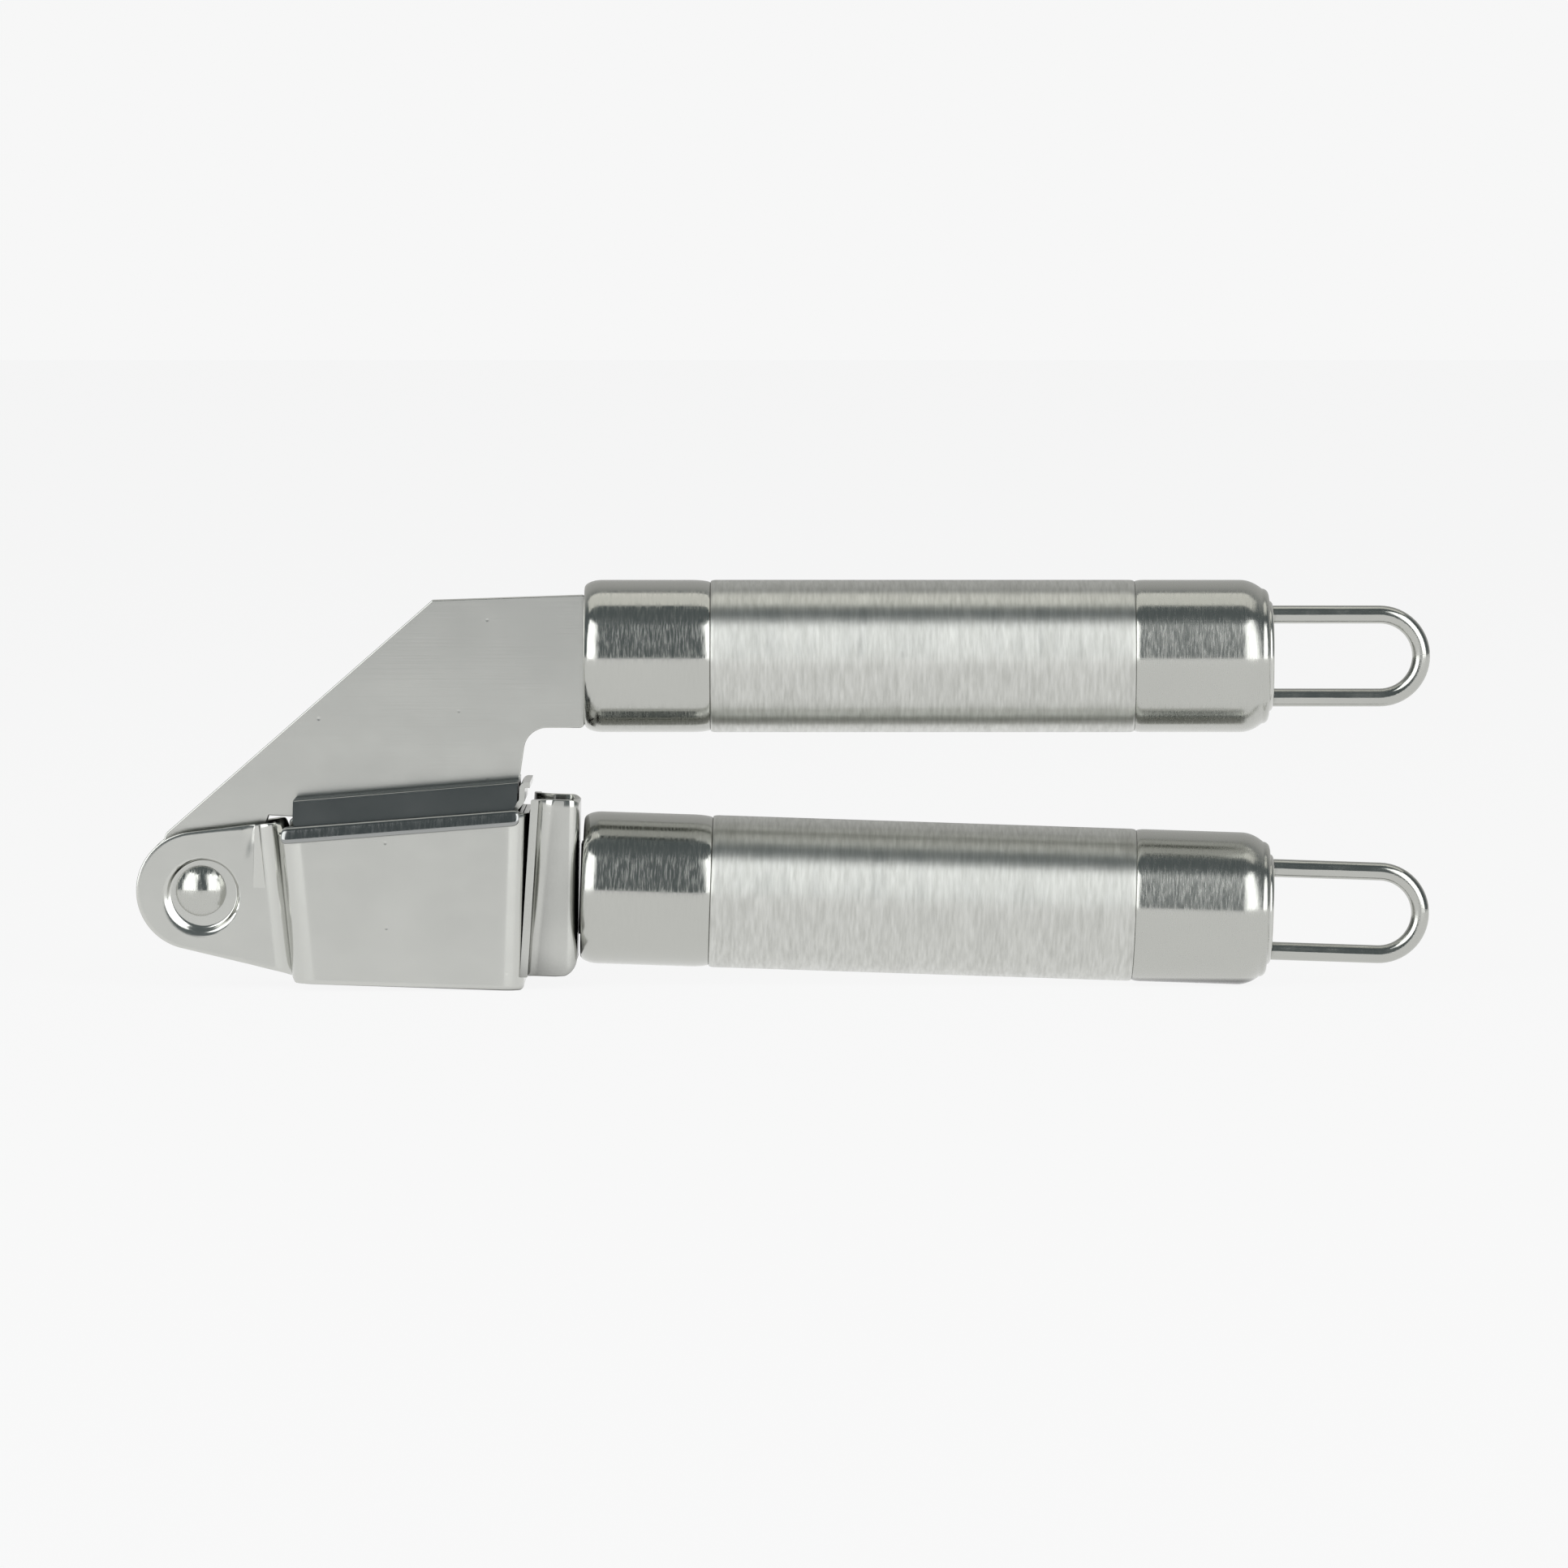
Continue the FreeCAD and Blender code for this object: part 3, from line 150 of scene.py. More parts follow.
class Nodes:
    """A material's node tree, with short calls for the nodes metals use."""

    def __init__(self, name):
        self.material = bpy.data.materials.new(name)
        self.material.use_nodes = True
        self.tree = self.material.node_tree
        self.shader = self.tree.nodes["Principled BSDF"]
        self.place = self.tree.nodes.new("ShaderNodeTexCoord").outputs["Object"]

    def link(self, source, target):
        self.tree.links.new(source, target)

    def fill(self, node, inputs):
        """Sets a node's inputs to values, or links them to other nodes' outputs."""
        for socket, source in inputs.items():
            if isinstance(source, bpy.types.NodeSocket):
                self.link(source, node.inputs[socket])
            else:
                node.inputs[socket].default_value = source

    def noise(self, scales, detail=2.0):
        """Smooth noise from 0 to 1, with so many features per metre of the lever's own axes."""
        mapping = self.tree.nodes.new("ShaderNodeMapping")
        self.fill(mapping, {"Scale": scales, "Vector": self.place})
        node = self.tree.nodes.new("ShaderNodeTexNoise")
        self.fill(node, {"Scale": 1.0, "Detail": detail, "Vector": mapping.outputs["Vector"]})
        return node.outputs["Fac"]

    def spots(self, scale, size):
        """1 in small scattered spots and 0 elsewhere."""
        node = self.tree.nodes.new("ShaderNodeTexVoronoi")
        self.fill(node, {"Scale": scale, "Vector": self.place})
        return self.ramp(node.outputs["Distance"], size, 0.0, 0.0, 1.0)

    def ramp(self, source, start, end, low, high):
        """The source spread from start..end to low..high."""
        node = self.tree.nodes.new("ShaderNodeMapRange")
        self.fill(node, {"Value": source, "From Min": start, "From Max": end})
        self.fill(node, {"To Min": low, "To Max": high})
        return node.outputs["Result"]

    def add(self, *sources):
        """The sum of several values."""
        total = sources[0]
        for source in sources[1:]:
            node = self.tree.nodes.new("ShaderNodeMath")
            node.operation = "ADD"
            self.link(total, node.inputs[0])
            self.link(source, node.inputs[1])
            total = node.outputs[0]
        return total

    def blend(self, factor, first, second, how="MIX"):
        """A colour between two, or their product where how is MULTIPLY."""
        node = self.tree.nodes.new("ShaderNodeMix")
        node.data_type = "RGBA"
        node.blend_type = how
        self.fill(node, {"Factor": factor, "A": first, "B": second})
        return node.outputs["Result"]

    def recesses(self, reach):
        """Ambient occlusion for painted shade: 1 on open surface, falling towards 0 down in
        corners and gaps narrower than reach.
        """
        node = self.tree.nodes.new("ShaderNodeAmbientOcclusion")
        node.samples = 8
        node.inputs["Distance"].default_value = reach
        return node.outputs["AO"]

    def colour(self, source):
        self.link(source, self.shader.inputs["Base Color"])

    def roughness(self, source):
        self.link(source, self.shader.inputs["Roughness"])

    def bump(self, height, depth):
        """Relief of the given depth in metres."""
        node = self.tree.nodes.new("ShaderNodeBump")
        self.fill(node, {"Strength": 1.0, "Distance": depth, "Height": height})
        self.link(node.outputs["Normal"], self.shader.inputs["Normal"])


def metal(name):
    """A node tree that starts as bare metal."""
    nodes = Nodes(name)
    nodes.shader.inputs["Metallic"].default_value = 1.0
    return nodes


# How far the painted shade looks for a wall, in metres, and how open a place must be to stay
# unshaded.
CORNER_PAINTED_SHADE = (0.0016, 0.62)
CHANNEL_PAINTED_SHADE = (0.0060, 0.884)
MOST_SHADED, PAINTED_SHADE_DARKNESS = 0.25, 0.12  # how open the most shaded places are, and how dark the painted shade makes them


def tint(nodes, shade, spread, shade_paint=CORNER_PAINTED_SHADE):
    """Steel whose tone drifts a little over the piece, and whose colour has shade painted in down
    in recesses.
    """
    reach, clean = shade_paint
    darker = tuple(channel * (1 - spread) for channel in shade[:3]) + (1,)
    drifting = nodes.blend(nodes.noise((90, 90, 90), 3.0), darker, shade)
    # painted shade: the colour darkens where ambient occlusion finds walls within reach
    light = nodes.ramp(nodes.recesses(reach), MOST_SHADED, clean, PAINTED_SHADE_DARKNESS, 1.0)
    nodes.colour(nodes.blend(1.0, drifting, light, "MULTIPLY"))


def satin_steel(name, shade, shade_paint):
    """Pressed sheet: satin, with a faint grain along the lever and a few small dings."""
    nodes = metal(name)
    tint(nodes, shade, 0.08, shade_paint)
    cloud = nodes.noise((110, 110, 160), 4.0)
    nodes.roughness(nodes.ramp(cloud, 0.3, 0.7, 0.15, 0.19))
    grain = nodes.ramp(nodes.noise((60, 400, 6000), 2.0), 0.0, 1.0, 0.0, 0.25)
    dings = nodes.ramp(nodes.spots(190, 0.06), 0.0, 1.0, 0.0, -3.0)
    nodes.bump(nodes.add(grain, dings), 0.000004)
    return nodes.material


QUARTER_TURN = 0.25


def brushed_round(nodes, amount):
    """Brush marks round the lever's handle axis, so that light spreads along it."""
    tangent = nodes.tree.nodes.new("ShaderNodeTangent")
    tangent.direction_type = "RADIAL"
    tangent.axis = "X"
    nodes.link(tangent.outputs["Tangent"], nodes.shader.inputs["Tangent"])
    nodes.shader.inputs["Anisotropic"].default_value = amount
    nodes.shader.inputs["Anisotropic Rotation"].default_value = QUARTER_TURN


def polished_steel(name, shade, smoothest, roughest, brushing=0.0):
    """Caps, rims and rivet: polish with fine scratches round the piece."""
    nodes = metal(name)
    tint(nodes, shade, 0.06)
    rings = nodes.noise((5200, 620, 620), 2.0)
    nodes.roughness(nodes.ramp(rings, 0.38, 0.66, smoothest, roughest))
    across = nodes.ramp(nodes.noise((90, 900, 3200), 1.0), 0.62, 0.74, 0.0, -0.3)
    nodes.bump(nodes.add(rings, across), 0.0000045)
    if brushing:
        brushed_round(nodes, brushing)
    return nodes.material


def brushed_tube():
    """Handle tube, brushed round its axis."""
    nodes = metal("brushed_tube")
    lines = nodes.noise((2400, 330, 330), 4.0)
    shade = nodes.ramp(lines, 0.25, 0.75, 0.0, 1.0)
    nodes.colour(nodes.blend(shade, TUBE_LINES, TUBE_STEEL))
    nodes.roughness(nodes.ramp(nodes.noise((700, 60, 60), 3.0), 0.3, 0.7, 0.34, 0.44))
    nodes.bump(shade, 0.000012)
    brushed_round(nodes, 0.85)
    return nodes.material


def polished_wire():
    """Drawn wire: bright, with faint draw lines along it."""
    nodes = metal("polished_wire")
    tint(nodes, BRIGHT_STEEL, 0.10)
    nodes.roughness(nodes.ramp(nodes.noise((400, 400, 400), 3.0), 0.3, 0.7, 0.10, 0.20))
    lines = nodes.ramp(nodes.noise((150, 2500, 5000), 2.0), 0.3, 0.7, 0.0, 1.0)
    nodes.bump(lines, 0.000003)
    return nodes.material


def weld_metal():
    """Dull, rippled weld."""
    nodes = metal("weld_metal")
    tint(nodes, DARK_STEEL, 0.3)
    nodes.roughness(nodes.ramp(nodes.noise((900, 900, 900), 3.0), 0.3, 0.7, 0.45, 0.65))
    nodes.bump(nodes.noise((1200, 1200, 1200), 2.0), 0.00008)
    return nodes.material


MATERIALS = {
    "satin_steel": satin_steel("satin_steel", STEEL, CORNER_PAINTED_SHADE),
    # satin steel whose painted shade reaches further, for the neck's deep channel
    "channel_shade_painted_steel": satin_steel("channel_shade_painted_steel", STEEL, CHANNEL_PAINTED_SHADE),
    # the plunger's sheet, its darker colour painted shade
    "plunger_shade_painted_steel": satin_steel("plunger_shade_painted_steel", PAINTED_SHADE_STEEL, CORNER_PAINTED_SHADE),
    "polished_steel": polished_steel("polished_steel", BRIGHT_STEEL, 0.11, 0.33),
    "cap_steel": polished_steel("cap_steel", BRIGHT_STEEL, 0.12, 0.27, 0.6),
    "worn_steel": polished_steel("worn_steel", BRIGHT_STEEL, 0.18, 0.28, 0.8),
    # the rims, their darker colour painted shade
    "rim_shade_painted_steel": polished_steel("rim_shade_painted_steel", PAINTED_SHADE_STEEL, 0.12, 0.22),
    "brushed_tube": brushed_tube(),
    "polished_wire": polished_wire(),
    "weld_metal": weld_metal(),
}

# ---- building pieces

SHARP = math.radians(34)  # edges that turn more than this stay crisp
PLATE_SHARP = math.radians(12)  # the same on the arm's flat plate
WELD_DISTANCE = 0.002  # vertices closer than this are one vertex


def raw_mesh(points, faces):
    """A mesh from points in millimetres."""
    mesh = bpy.data.meshes.new("raw")
    mesh.from_pydata([Vector(point) * MM for point in points], [], faces)
    return mesh


def new_piece(name, points, faces, lever, slot, *nodes, look=None):
    """A smooth-shaded piece from points in millimetres on a lever, that stands for CAD nodes."""
    mesh = welded(name, raw_mesh(points, faces), clean=True)
    return finish_piece(name, mesh, lever, slot, *nodes, look=look)


def finish_piece(name, mesh, lever, slot, *nodes, sharp=SHARP, look=None):
    """Places a finished mesh on its lever with its material and body."""
    mesh.polygons.foreach_set("use_smooth", [True] * len(mesh.polygons))
    mesh.set_sharp_from_angle(angle=sharp)
    mesh.materials.clear()
    mesh.materials.append(MATERIALS[look or slot])
    piece = bpy.data.objects.new(name, mesh)
    bpy.context.scene.collection.objects.link(piece)
    piece.matrix_world = LOWER if lever == "lower_lever" else UPPER
    weighted = piece.modifiers.new("flat_faces_stay_flat", "WEIGHTED_NORMAL")
    weighted.keep_sharp = True
    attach(piece, lever)
    if nodes:
        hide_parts(*nodes)
    return piece


def welded(name, *parts, clean=False):
    """One mesh in place of its parts, with touching vertices made one and faces turned
    outward; clean also takes out faces without area."""
    build = bmesh.new()
    for part in parts:
        build.from_mesh(part)
        bpy.data.meshes.remove(part)
    bmesh.ops.remove_doubles(build, verts=build.verts, dist=WELD_DISTANCE * MM)
    if clean:
        bmesh.ops.dissolve_degenerate(build, edges=build.edges, dist=WELD_DISTANCE * MM / 4)
    bmesh.ops.recalc_face_normals(build, faces=build.faces)
    mesh = bpy.data.meshes.new(name)
    build.to_mesh(mesh)
    build.free()
    return mesh


def loop_faces(rings, around):
    """Quads between neighbouring rings of equal size."""
    faces = []
    for ring in range(rings - 1):
        here, there = ring * around, (ring + 1) * around
        for i in range(around):
            j = (i + 1) % around
            faces.append((here + i, here + j, there + j, there + i))
    return faces


def capped_faces(rings, around):
    """Quads between neighbouring rings and a face over each end."""
    last = (rings - 1) * around
    return loop_faces(rings, around) + [tuple(range(around)), tuple(range(last, last + around))]


def circle(radius, steps):
    """Points of a circle round the origin."""
    angles = [2 * math.pi * k / steps for k in range(steps)]
    return [(radius * math.cos(angle), radius * math.sin(angle)) for angle in angles]


def smooth_step(x, start, end):
    """0 before start, 1 after end, smooth between."""
    t = max(0.0, min(1.0, (x - start) / (end - start)))
    return t * t * (3 - 2 * t)


# ---- turned pieces

TURN_STEPS = 160


def turned(name, profile, axis_up, lever, slot, *nodes, look=None):
    """A piece turned about a handle axis from (along, radius) pairs; radius 0 ends it."""
    points, rings = [], []
    for along, radius in profile:
        rings.append(len(points))
        if radius == 0:
            points.append((along, 0, axis_up))
            continue
        points += [(along, out, axis_up + up) for out, up in circle(radius, TURN_STEPS)]
    faces = []
    for k in range(len(profile) - 1):
        here, there = rings[k], rings[k + 1]
        for i in range(TURN_STEPS):
            j = (i + 1) % TURN_STEPS
            if profile[k][1] == 0:
                faces.append((here, there + j, there + i))
            elif profile[k + 1][1] == 0:
                faces.append((here + i, here + j, there))
            else:
                faces.append((here + i, here + j, there + j, there + i))
    return new_piece(name, points, faces, lever, slot, *nodes, look=look)


def elliptic_corner(tangent, reach, radius, drop, steps):
    """A quarter ellipse from (tangent, radius) out to (tangent + reach, radius - drop)."""
    path = []
    for i in range(steps + 1):
        angle = math.pi / 2 * i / steps
        path.append((tangent + reach * math.sin(angle), radius - drop * (1 - math.cos(angle))))
    return path


def front_corner(tangent, reach, radius, drop, steps):
    """The same mirrored, from (tangent - reach, radius - drop) in to (tangent, radius)."""
    corner = elliptic_corner(-tangent, reach, radius, drop, steps)
    return [(-along, height) for along, height in corner][::-1]


FRONT_REACH, FRONT_DROP = 2.6, 1.15  # the front caps' rims
SEAM_REACH, SEAM_DROP = 2.9, 0.42  # the soft roll of a front cap beside its joint
SEAM_GROOVE = 0.75  # how deep the joints look
CAP_INSIDE = 1.2  # how far below the skin a cap ends inside its tube
TUBE_REACH, TUBE_DROP = 0.8, 0.22  # the turned-in ends of the tubes
REAR_ROLL, REAR_ROLL_DROP = 1.3, 0.3  # a rear cap beside its joint
SHOULDER = 4.2  # how far from the rear face the rear caps start to neck down
NECK_DROP, NECK_CURVE = 1.25, 2.1  # how much they neck down, and how late
RIM_REACH, RIM_DROP = 0.95, 1.0  # their rounded rims
MOUTH_GAP = 0.15  # between a rear cap's mouth and its plug


def make_front_cap(name, face, axis_up, lever):
    """Cup with a softly rolled rim and a shallow dish in its face."""
    rim = front_corner(face + FRONT_REACH, FRONT_REACH, TUBE_RADIUS, FRONT_DROP, 14)
    roll = elliptic_corner(FRONT_SEAM - SEAM_REACH, SEAM_REACH, TUBE_RADIUS, SEAM_DROP, 10)
    dish = [(face + 0.25, 0), (face + 0.2, 3.0), (face + 0.05, 7.0), (face, 8.8)]
    inside, groove = TUBE_RADIUS - CAP_INSIDE, TUBE_RADIUS - SEAM_GROOVE
    neck = [(FRONT_SEAM, groove), (FRONT_SEAM + 1.5, inside)]
    profile = dish + rim + roll + neck
    turned(name, profile, axis_up, lever, "polished_steel", name, look="cap_steel")


def make_tube(name, axis_up, lever):
    """Brushed tube whose ends turn in a little at the joints."""
    front = front_corner(FRONT_SEAM + TUBE_REACH, TUBE_REACH, TUBE_RADIUS, TUBE_DROP, 6)
    rear = elliptic_corner(REAR_SEAM - TUBE_REACH, TUBE_REACH, TUBE_RADIUS, TUBE_DROP, 6)
    inside = TUBE_RADIUS - SEAM_GROOVE
    profile = [(FRONT_SEAM, inside)] + front + rear + [(REAR_SEAM, inside)]
    turned(name, profile, axis_up, lever, "brushed_tube", name)


def make_rear_cap(name, axis_up, lever):
    """Cap that necks down softly to a rounded rim."""
    roll = front_corner(REAR_SEAM + REAR_ROLL, REAR_ROLL, TUBE_RADIUS, REAR_ROLL_DROP, 8)
    shoulder, neck = REAR_FACE - SHOULDER, TUBE_RADIUS - NECK_DROP
    slope = []
    steps = 16
    for i in range(steps + 1):
        t = i / steps
        along = shoulder + t * (REAR_FACE - RIM_REACH - shoulder)
        slope.append((along, TUBE_RADIUS - (TUBE_RADIUS - neck) * t**NECK_CURVE))
    rim = elliptic_corner(REAR_FACE - RIM_REACH, RIM_REACH, neck, RIM_DROP, 8)[1:]
    mouth = [(REAR_FACE, PLUG_RADIUS + 0.35), (REAR_FACE - 0.3, PLUG_RADIUS + MOUTH_GAP)]
    inside, groove = TUBE_RADIUS - CAP_INSIDE, TUBE_RADIUS - SEAM_GROOVE
    start = [(REAR_SEAM - 1.5, inside), (REAR_SEAM, groove)]
    inner = [(REAR_FACE - 1.6, PLUG_RADIUS + MOUTH_GAP)]
    profile = start + roll + slope + rim + mouth + inner
    turned(name, profile, axis_up, lever, "polished_steel", name, look="worn_steel")


def make_end_plug(name, axis_up, lever):
    """Slightly domed disc in the rear cap's mouth."""
    edge = elliptic_corner(PLUG_FACE - 0.75, 0.6, PLUG_RADIUS, 0.7, 7)
    dome = [(PLUG_FACE - 0.08, 5.5), (PLUG_FACE - 0.02, 3.0), (PLUG_FACE, 0)]
    start = [(PLUG_FACE - 2.4, PLUG_RADIUS)]
    turned(name, start + edge + dome, axis_up, lever, "satin_steel", name)


def make_hanging_loop(name, axis_up, lever):
    """Round wire bent into a long U, its ends sunk in the plug."""
    start = PLUG_FACE - 2.0
    centre = LOOP_END - WIRE_RADIUS - LEG_OFFSET
    leg_steps, bend_steps = 12, 32
    path = []
    for i in range(leg_steps + 1):
        path.append((start + (centre - start) * i / leg_steps, LEG_OFFSET, 0, 1))
    for i in range(1, bend_steps):
        angle = math.pi / 2 - math.pi * i / bend_steps
        sine, cosine = math.sin(angle), math.cos(angle)
        path.append((centre + LEG_OFFSET * cosine, LEG_OFFSET * sine, cosine, sine))
    for i in range(leg_steps + 1):
        path.append((centre + (start - centre) * i / leg_steps, -LEG_OFFSET, 0, -1))
    around = 28
    points = []
    for along, up, out_along, out_up in path:
        for reach, out in circle(WIRE_RADIUS, around):
            points.append((along + out_along * reach, out, axis_up + up + out_up * reach))
    faces = capped_faces(len(path), around)
    new_piece(name, points, faces, lever, "polished_wire", name)


SHANK_RADIUS = 2.4
HEAD_RADIUS, HEAD_SEAT, HEAD_EDGE = 3.6, 5.7, 0.3


def make_rivet():
    """Shank and two domed heads."""
    base = HEAD_SEAT + HEAD_EDGE
    crown = RIVET_TOP - HEAD_SEAT - HEAD_EDGE
    ball = (HEAD_RADIUS**2 + crown**2) / (2 * crown)
    side = [
        (SHANK_RADIUS, 0.0),
        (SHANK_RADIUS, HEAD_SEAT),
        (HEAD_RADIUS - 0.15, HEAD_SEAT),
        (HEAD_RADIUS, HEAD_SEAT + 0.12),
    ]
    span = math.asin(HEAD_RADIUS / ball)
    dome_steps = 24
    for i in range(dome_steps + 1):
        angle = span * (1 - i / dome_steps)
        side.append((ball * math.sin(angle), base + crown - ball * (1 - math.cos(angle))))
    outline = [(radius, -out) for radius, out in side[::-1]] + side[1:]
    points = []
    steps = 96
    for radius, out in outline:
        points += [(along, out, up) for along, up in circle(radius, steps)]
    faces = loop_faces(len(outline), steps)
    new_piece("rivet", points, faces, "lower_lever", "polished_steel", "pivot_rivet")


# ---- bent sheet


def direction(start, end):
    """Unit vector and length from one flat point to another."""
    dx, dy = end[0] - start[0], end[1] - start[1]
    length = math.hypot(dx, dy)
    return dx / length, dy / length, length


def bend_at(before, corner, after, radius):
    """Start and end of the arc that rounds a corner, its first heading and its turn."""
    ax, ay, _ = direction(before, corner)
    bx, by, _ = direction(corner, after)
    turn = math.atan2(ax * by - ay * bx, ax * bx + ay * by)
    reach = radius * math.tan(abs(turn) / 2)
    start = (corner[0] - ax * reach, corner[1] - ay * reach)
    end = (corner[0] + bx * reach, corner[1] + by * reach)
    return start, end, math.atan2(ay, ax), turn


def arc_point(start, heading, angle, radius):
    """Where an arc heads at an angle; its radius is negative when it turns right."""
    centre_x = start[0] - math.sin(heading) * radius
    centre_y = start[1] + math.cos(heading) * radius
    return centre_x + math.sin(angle) * radius, centre_y - math.cos(angle) * radius


def bent_path(points, radii, straight_steps, bend_steps):
    """Samples (x, y, normal x, normal y) of straight runs joined by arcs; the normal is to
    the left of the way the path runs."""
    count = len(points)
    bends = [bend_at(*points[i - 1 : i + 2], radii[i]) for i in range(1, count - 1)]
    samples = []
    here = points[0]
    for i in range(count - 1):
        there = bends[i][0] if i < count - 2 else points[-1]
        dx, dy, _ = direction(here, there)
        for k in range(straight_steps[i] + 1):
            t = k / straight_steps[i]
            x = here[0] + (there[0] - here[0]) * t
            y = here[1] + (there[1] - here[1]) * t
            samples.append((x, y, -dy, dx))
        if i < count - 2:
            start, end, heading, turn = bends[i]
            radius = math.copysign(radii[i + 1], turn)
            for k in range(1, bend_steps[i]):
                angle = heading + turn * k / bend_steps[i]
                x, y = arc_point(start, heading, angle, radius)
                samples.append((x, y, -math.sin(angle), math.cos(angle)))
            here = end
    return samples


EDGE = 0.16  # rounding of sheet edges
EDGE_ANGLES = [math.radians(a) for a in (30, 60, 90)]


def sheet_section(bottom, top, thickness, rows):
    """The closed section of a sheet as (height, depth) pairs, from the outer face round."""
    face = [bottom + EDGE + (top - bottom - 2 * EDGE) * k / rows for k in range(rows + 1)]
    crest = [(top - EDGE + EDGE * math.sin(a), EDGE * (1 - math.cos(a))) for a in EDGE_ANGLES]
    foot = [(bottom + EDGE - EDGE * math.sin(a), EDGE * (1 - math.cos(a))) for a in EDGE_ANGLES]
    section = [(height, 0.0) for height in face]
    section += crest + [(height, thickness - depth) for height, depth in crest[::-1]]
    section += [(height, thickness) for height in face[::-1]]
    section += [(height, thickness - depth) for height, depth in foot]
    section += foot[::-1]
    return section


def sheet_strip(low_plan, high_plan, low, high, edges, thickness, rows, relief=None):
    """Points of a bent sheet: one closed section for each sample of the plan. edges gives
    (bottom, top) for a sample's place at the low and the high plan."""
    points, around = [], 0
    for lower, upper in zip(low_plan, high_plan):
        bottom, top = edges(lower, upper)
        section = sheet_section(bottom, top, thickness, rows)
        around = len(section)
        for height, depth in section:
            t = (height - low) / (high - low)
            x, y, nx, ny = (a + (b - a) * t for a, b in zip(lower, upper))
            sink = depth + (relief(x, y, height) if relief else 0.0)
            points.append((x + nx * sink, y + ny * sink, height))
    return points, around


# Basket frame
SHEET = 0.9
EAR_HALF = 6.3
NOSE_RADIUS, NOSE_CENTRE = 8.5, -0.85
FRONT_TOP, FRONT_TOP_UP, FRONT_SLOPE = 11.4, 9.9, 0.1103
FRAME_REAR = 47.05
BASKET_DEPTH = 12.42
PLAN_TOP = FRONT_TOP_UP + 4.0  # height of the upper plan that walls run up to
LIP_SLOPE = 0.1113
EAR_REAR, EAR_TOP, EAR_BOTTOM = 10.15, 10.3, 11.6
EAR_SHORT = 0.3  # from the ear's lower corner to the basket
NOTCH_FLOOR = 8.8
EAR_JOIN = 7.5  # where the ear's rounds meet the bent strip's columns
DISH_CENTRE = (0.45, -0.3)
DISH_DEPTH = 0.6
FRAME_ROWS = 44


def lip_height(along):
    """Height of the basket's rim."""
    return FRONT_TOP_UP + (along - FRONT_TOP) * LIP_SLOPE


def front_at(height):
    """Front of the basket at a height."""
    return FRONT_TOP + (FRONT_TOP_UP - height) * FRONT_SLOPE


def touch_point(corner, side):
    """Where a line from a corner touches the round nose."""
    dx, dy = corner[0] - NOSE_CENTRE, corner[1]
    angle = math.atan2(dy, dx) + side * math.acos(NOSE_RADIUS / math.hypot(dx, dy))
    return NOSE_CENTRE + NOSE_RADIUS * math.cos(angle), NOSE_RADIUS * math.sin(angle), angle


TOP_CORNER = (EAR_REAR, EAR_TOP)
LOW_CORNER = (front_at(-EAR_BOTTOM) - EAR_SHORT, -EAR_BOTTOM)
TOP_TOUCH = touch_point(TOP_CORNER, 1)
LOW_TOUCH = touch_point(LOW_CORNER, -1)


def line_height(along, start, end):
    """Height of a straight line at a place along it."""
    t = (along - start[0]) / (end[0] - start[0])
    return start[1] + (end[1] - start[1]) * t


def corner_drop(place, end, radius):
    """How much a rounded corner takes off an edge at a place before its end."""
    far = max(0.0, place - (end - radius)) / radius
    return radius * (1 - math.sqrt(max(0.0, 1 - far * far)))


FRAME_BELOW_LIP = 0.75
FRAME_CORNER = 0.6  # round of the strip's lower rear corner


def frame_edges(lower, upper):
    """Bottom and top of the frame's strip where its plan is at these two places. Each step
    from one height to the next is spread over about half a millimetre."""
    top_at, low_at = upper[0], lower[0]
    top = line_height(top_at, TOP_TOUCH, TOP_CORNER)
    top += (NOTCH_FLOOR - top) * smooth_step(top_at, EAR_REAR - 0.25, EAR_REAR + 0.2)
    rim = lip_height(top_at) - FRAME_BELOW_LIP
    top += (rim - top) * smooth_step(top_at, FRONT_TOP - 0.35, FRONT_TOP + 0.1)
    bottom = line_height(min(low_at, LOW_CORNER[0]), LOW_TOUCH, LOW_CORNER)
    box_front = front_at(-BASKET_DEPTH)
    bottom += (-BASKET_DEPTH - bottom) * smooth_step(low_at, box_front - 0.25, box_front + 0.35)
    return bottom + corner_drop(low_at, FRAME_REAR, FRAME_CORNER), top


STEP_LOW, STEP_MORE = 0.1, 1.15  # length of the step from ear to box, and how it grows
EAR_BEND, BOX_BEND, REAR_BEND = 2.7, 3.6, 3.5


def frame_plan(height):
    """The frame seen from above at one height, from the near ear round to the far ear."""
    front = front_at(height)
    t = smooth_step(height, -BASKET_DEPTH, FRONT_TOP_UP)
    inner_front = front - STEP_LOW - STEP_MORE * t
    points = [
        (EAR_JOIN, -EAR_HALF), (inner_front, -EAR_HALF),
        (front, -FRAME_HALF), (FRAME_REAR, -FRAME_HALF),
        (FRAME_REAR, FRAME_HALF), (front, FRAME_HALF),
        (inner_front, EAR_HALF), (EAR_JOIN, EAR_HALF),
    ]
    radii = [0, EAR_BEND, BOX_BEND, REAR_BEND, REAR_BEND, BOX_BEND, EAR_BEND, 0]
    return bent_path(points, radii, [3, 3, 40, 16, 40, 3, 3], [14, 16, 12, 12, 16, 14])


CREASE_START, CREASE_END = 4.5, 8.6  # the heights that the crumple grows between
CREASE_UP = 8  # the height that its ridge and fold are placed at


def crease(along, up):
    """A small crumple at the near ear's upper rear corner: a ridge in and a fold out."""

    def line(place, lean, width):
        return math.exp(-(((along - place - lean * (up - CREASE_UP)) / width) ** 2))

    reach = smooth_step(up, CREASE_START, CREASE_END)
    return reach * (0.10 * line(6.9, 0.12, 0.35) - 0.08 * line(7.9, -0.22, 0.4))


DISH_INNER, DISH_OUTER = 4.72, 5.02  # radii where the dish's slope starts and ends
SOFT_LIP, SOFT_LIP_WAY = 1.15, math.radians(235)  # how much softer its lip is, and where


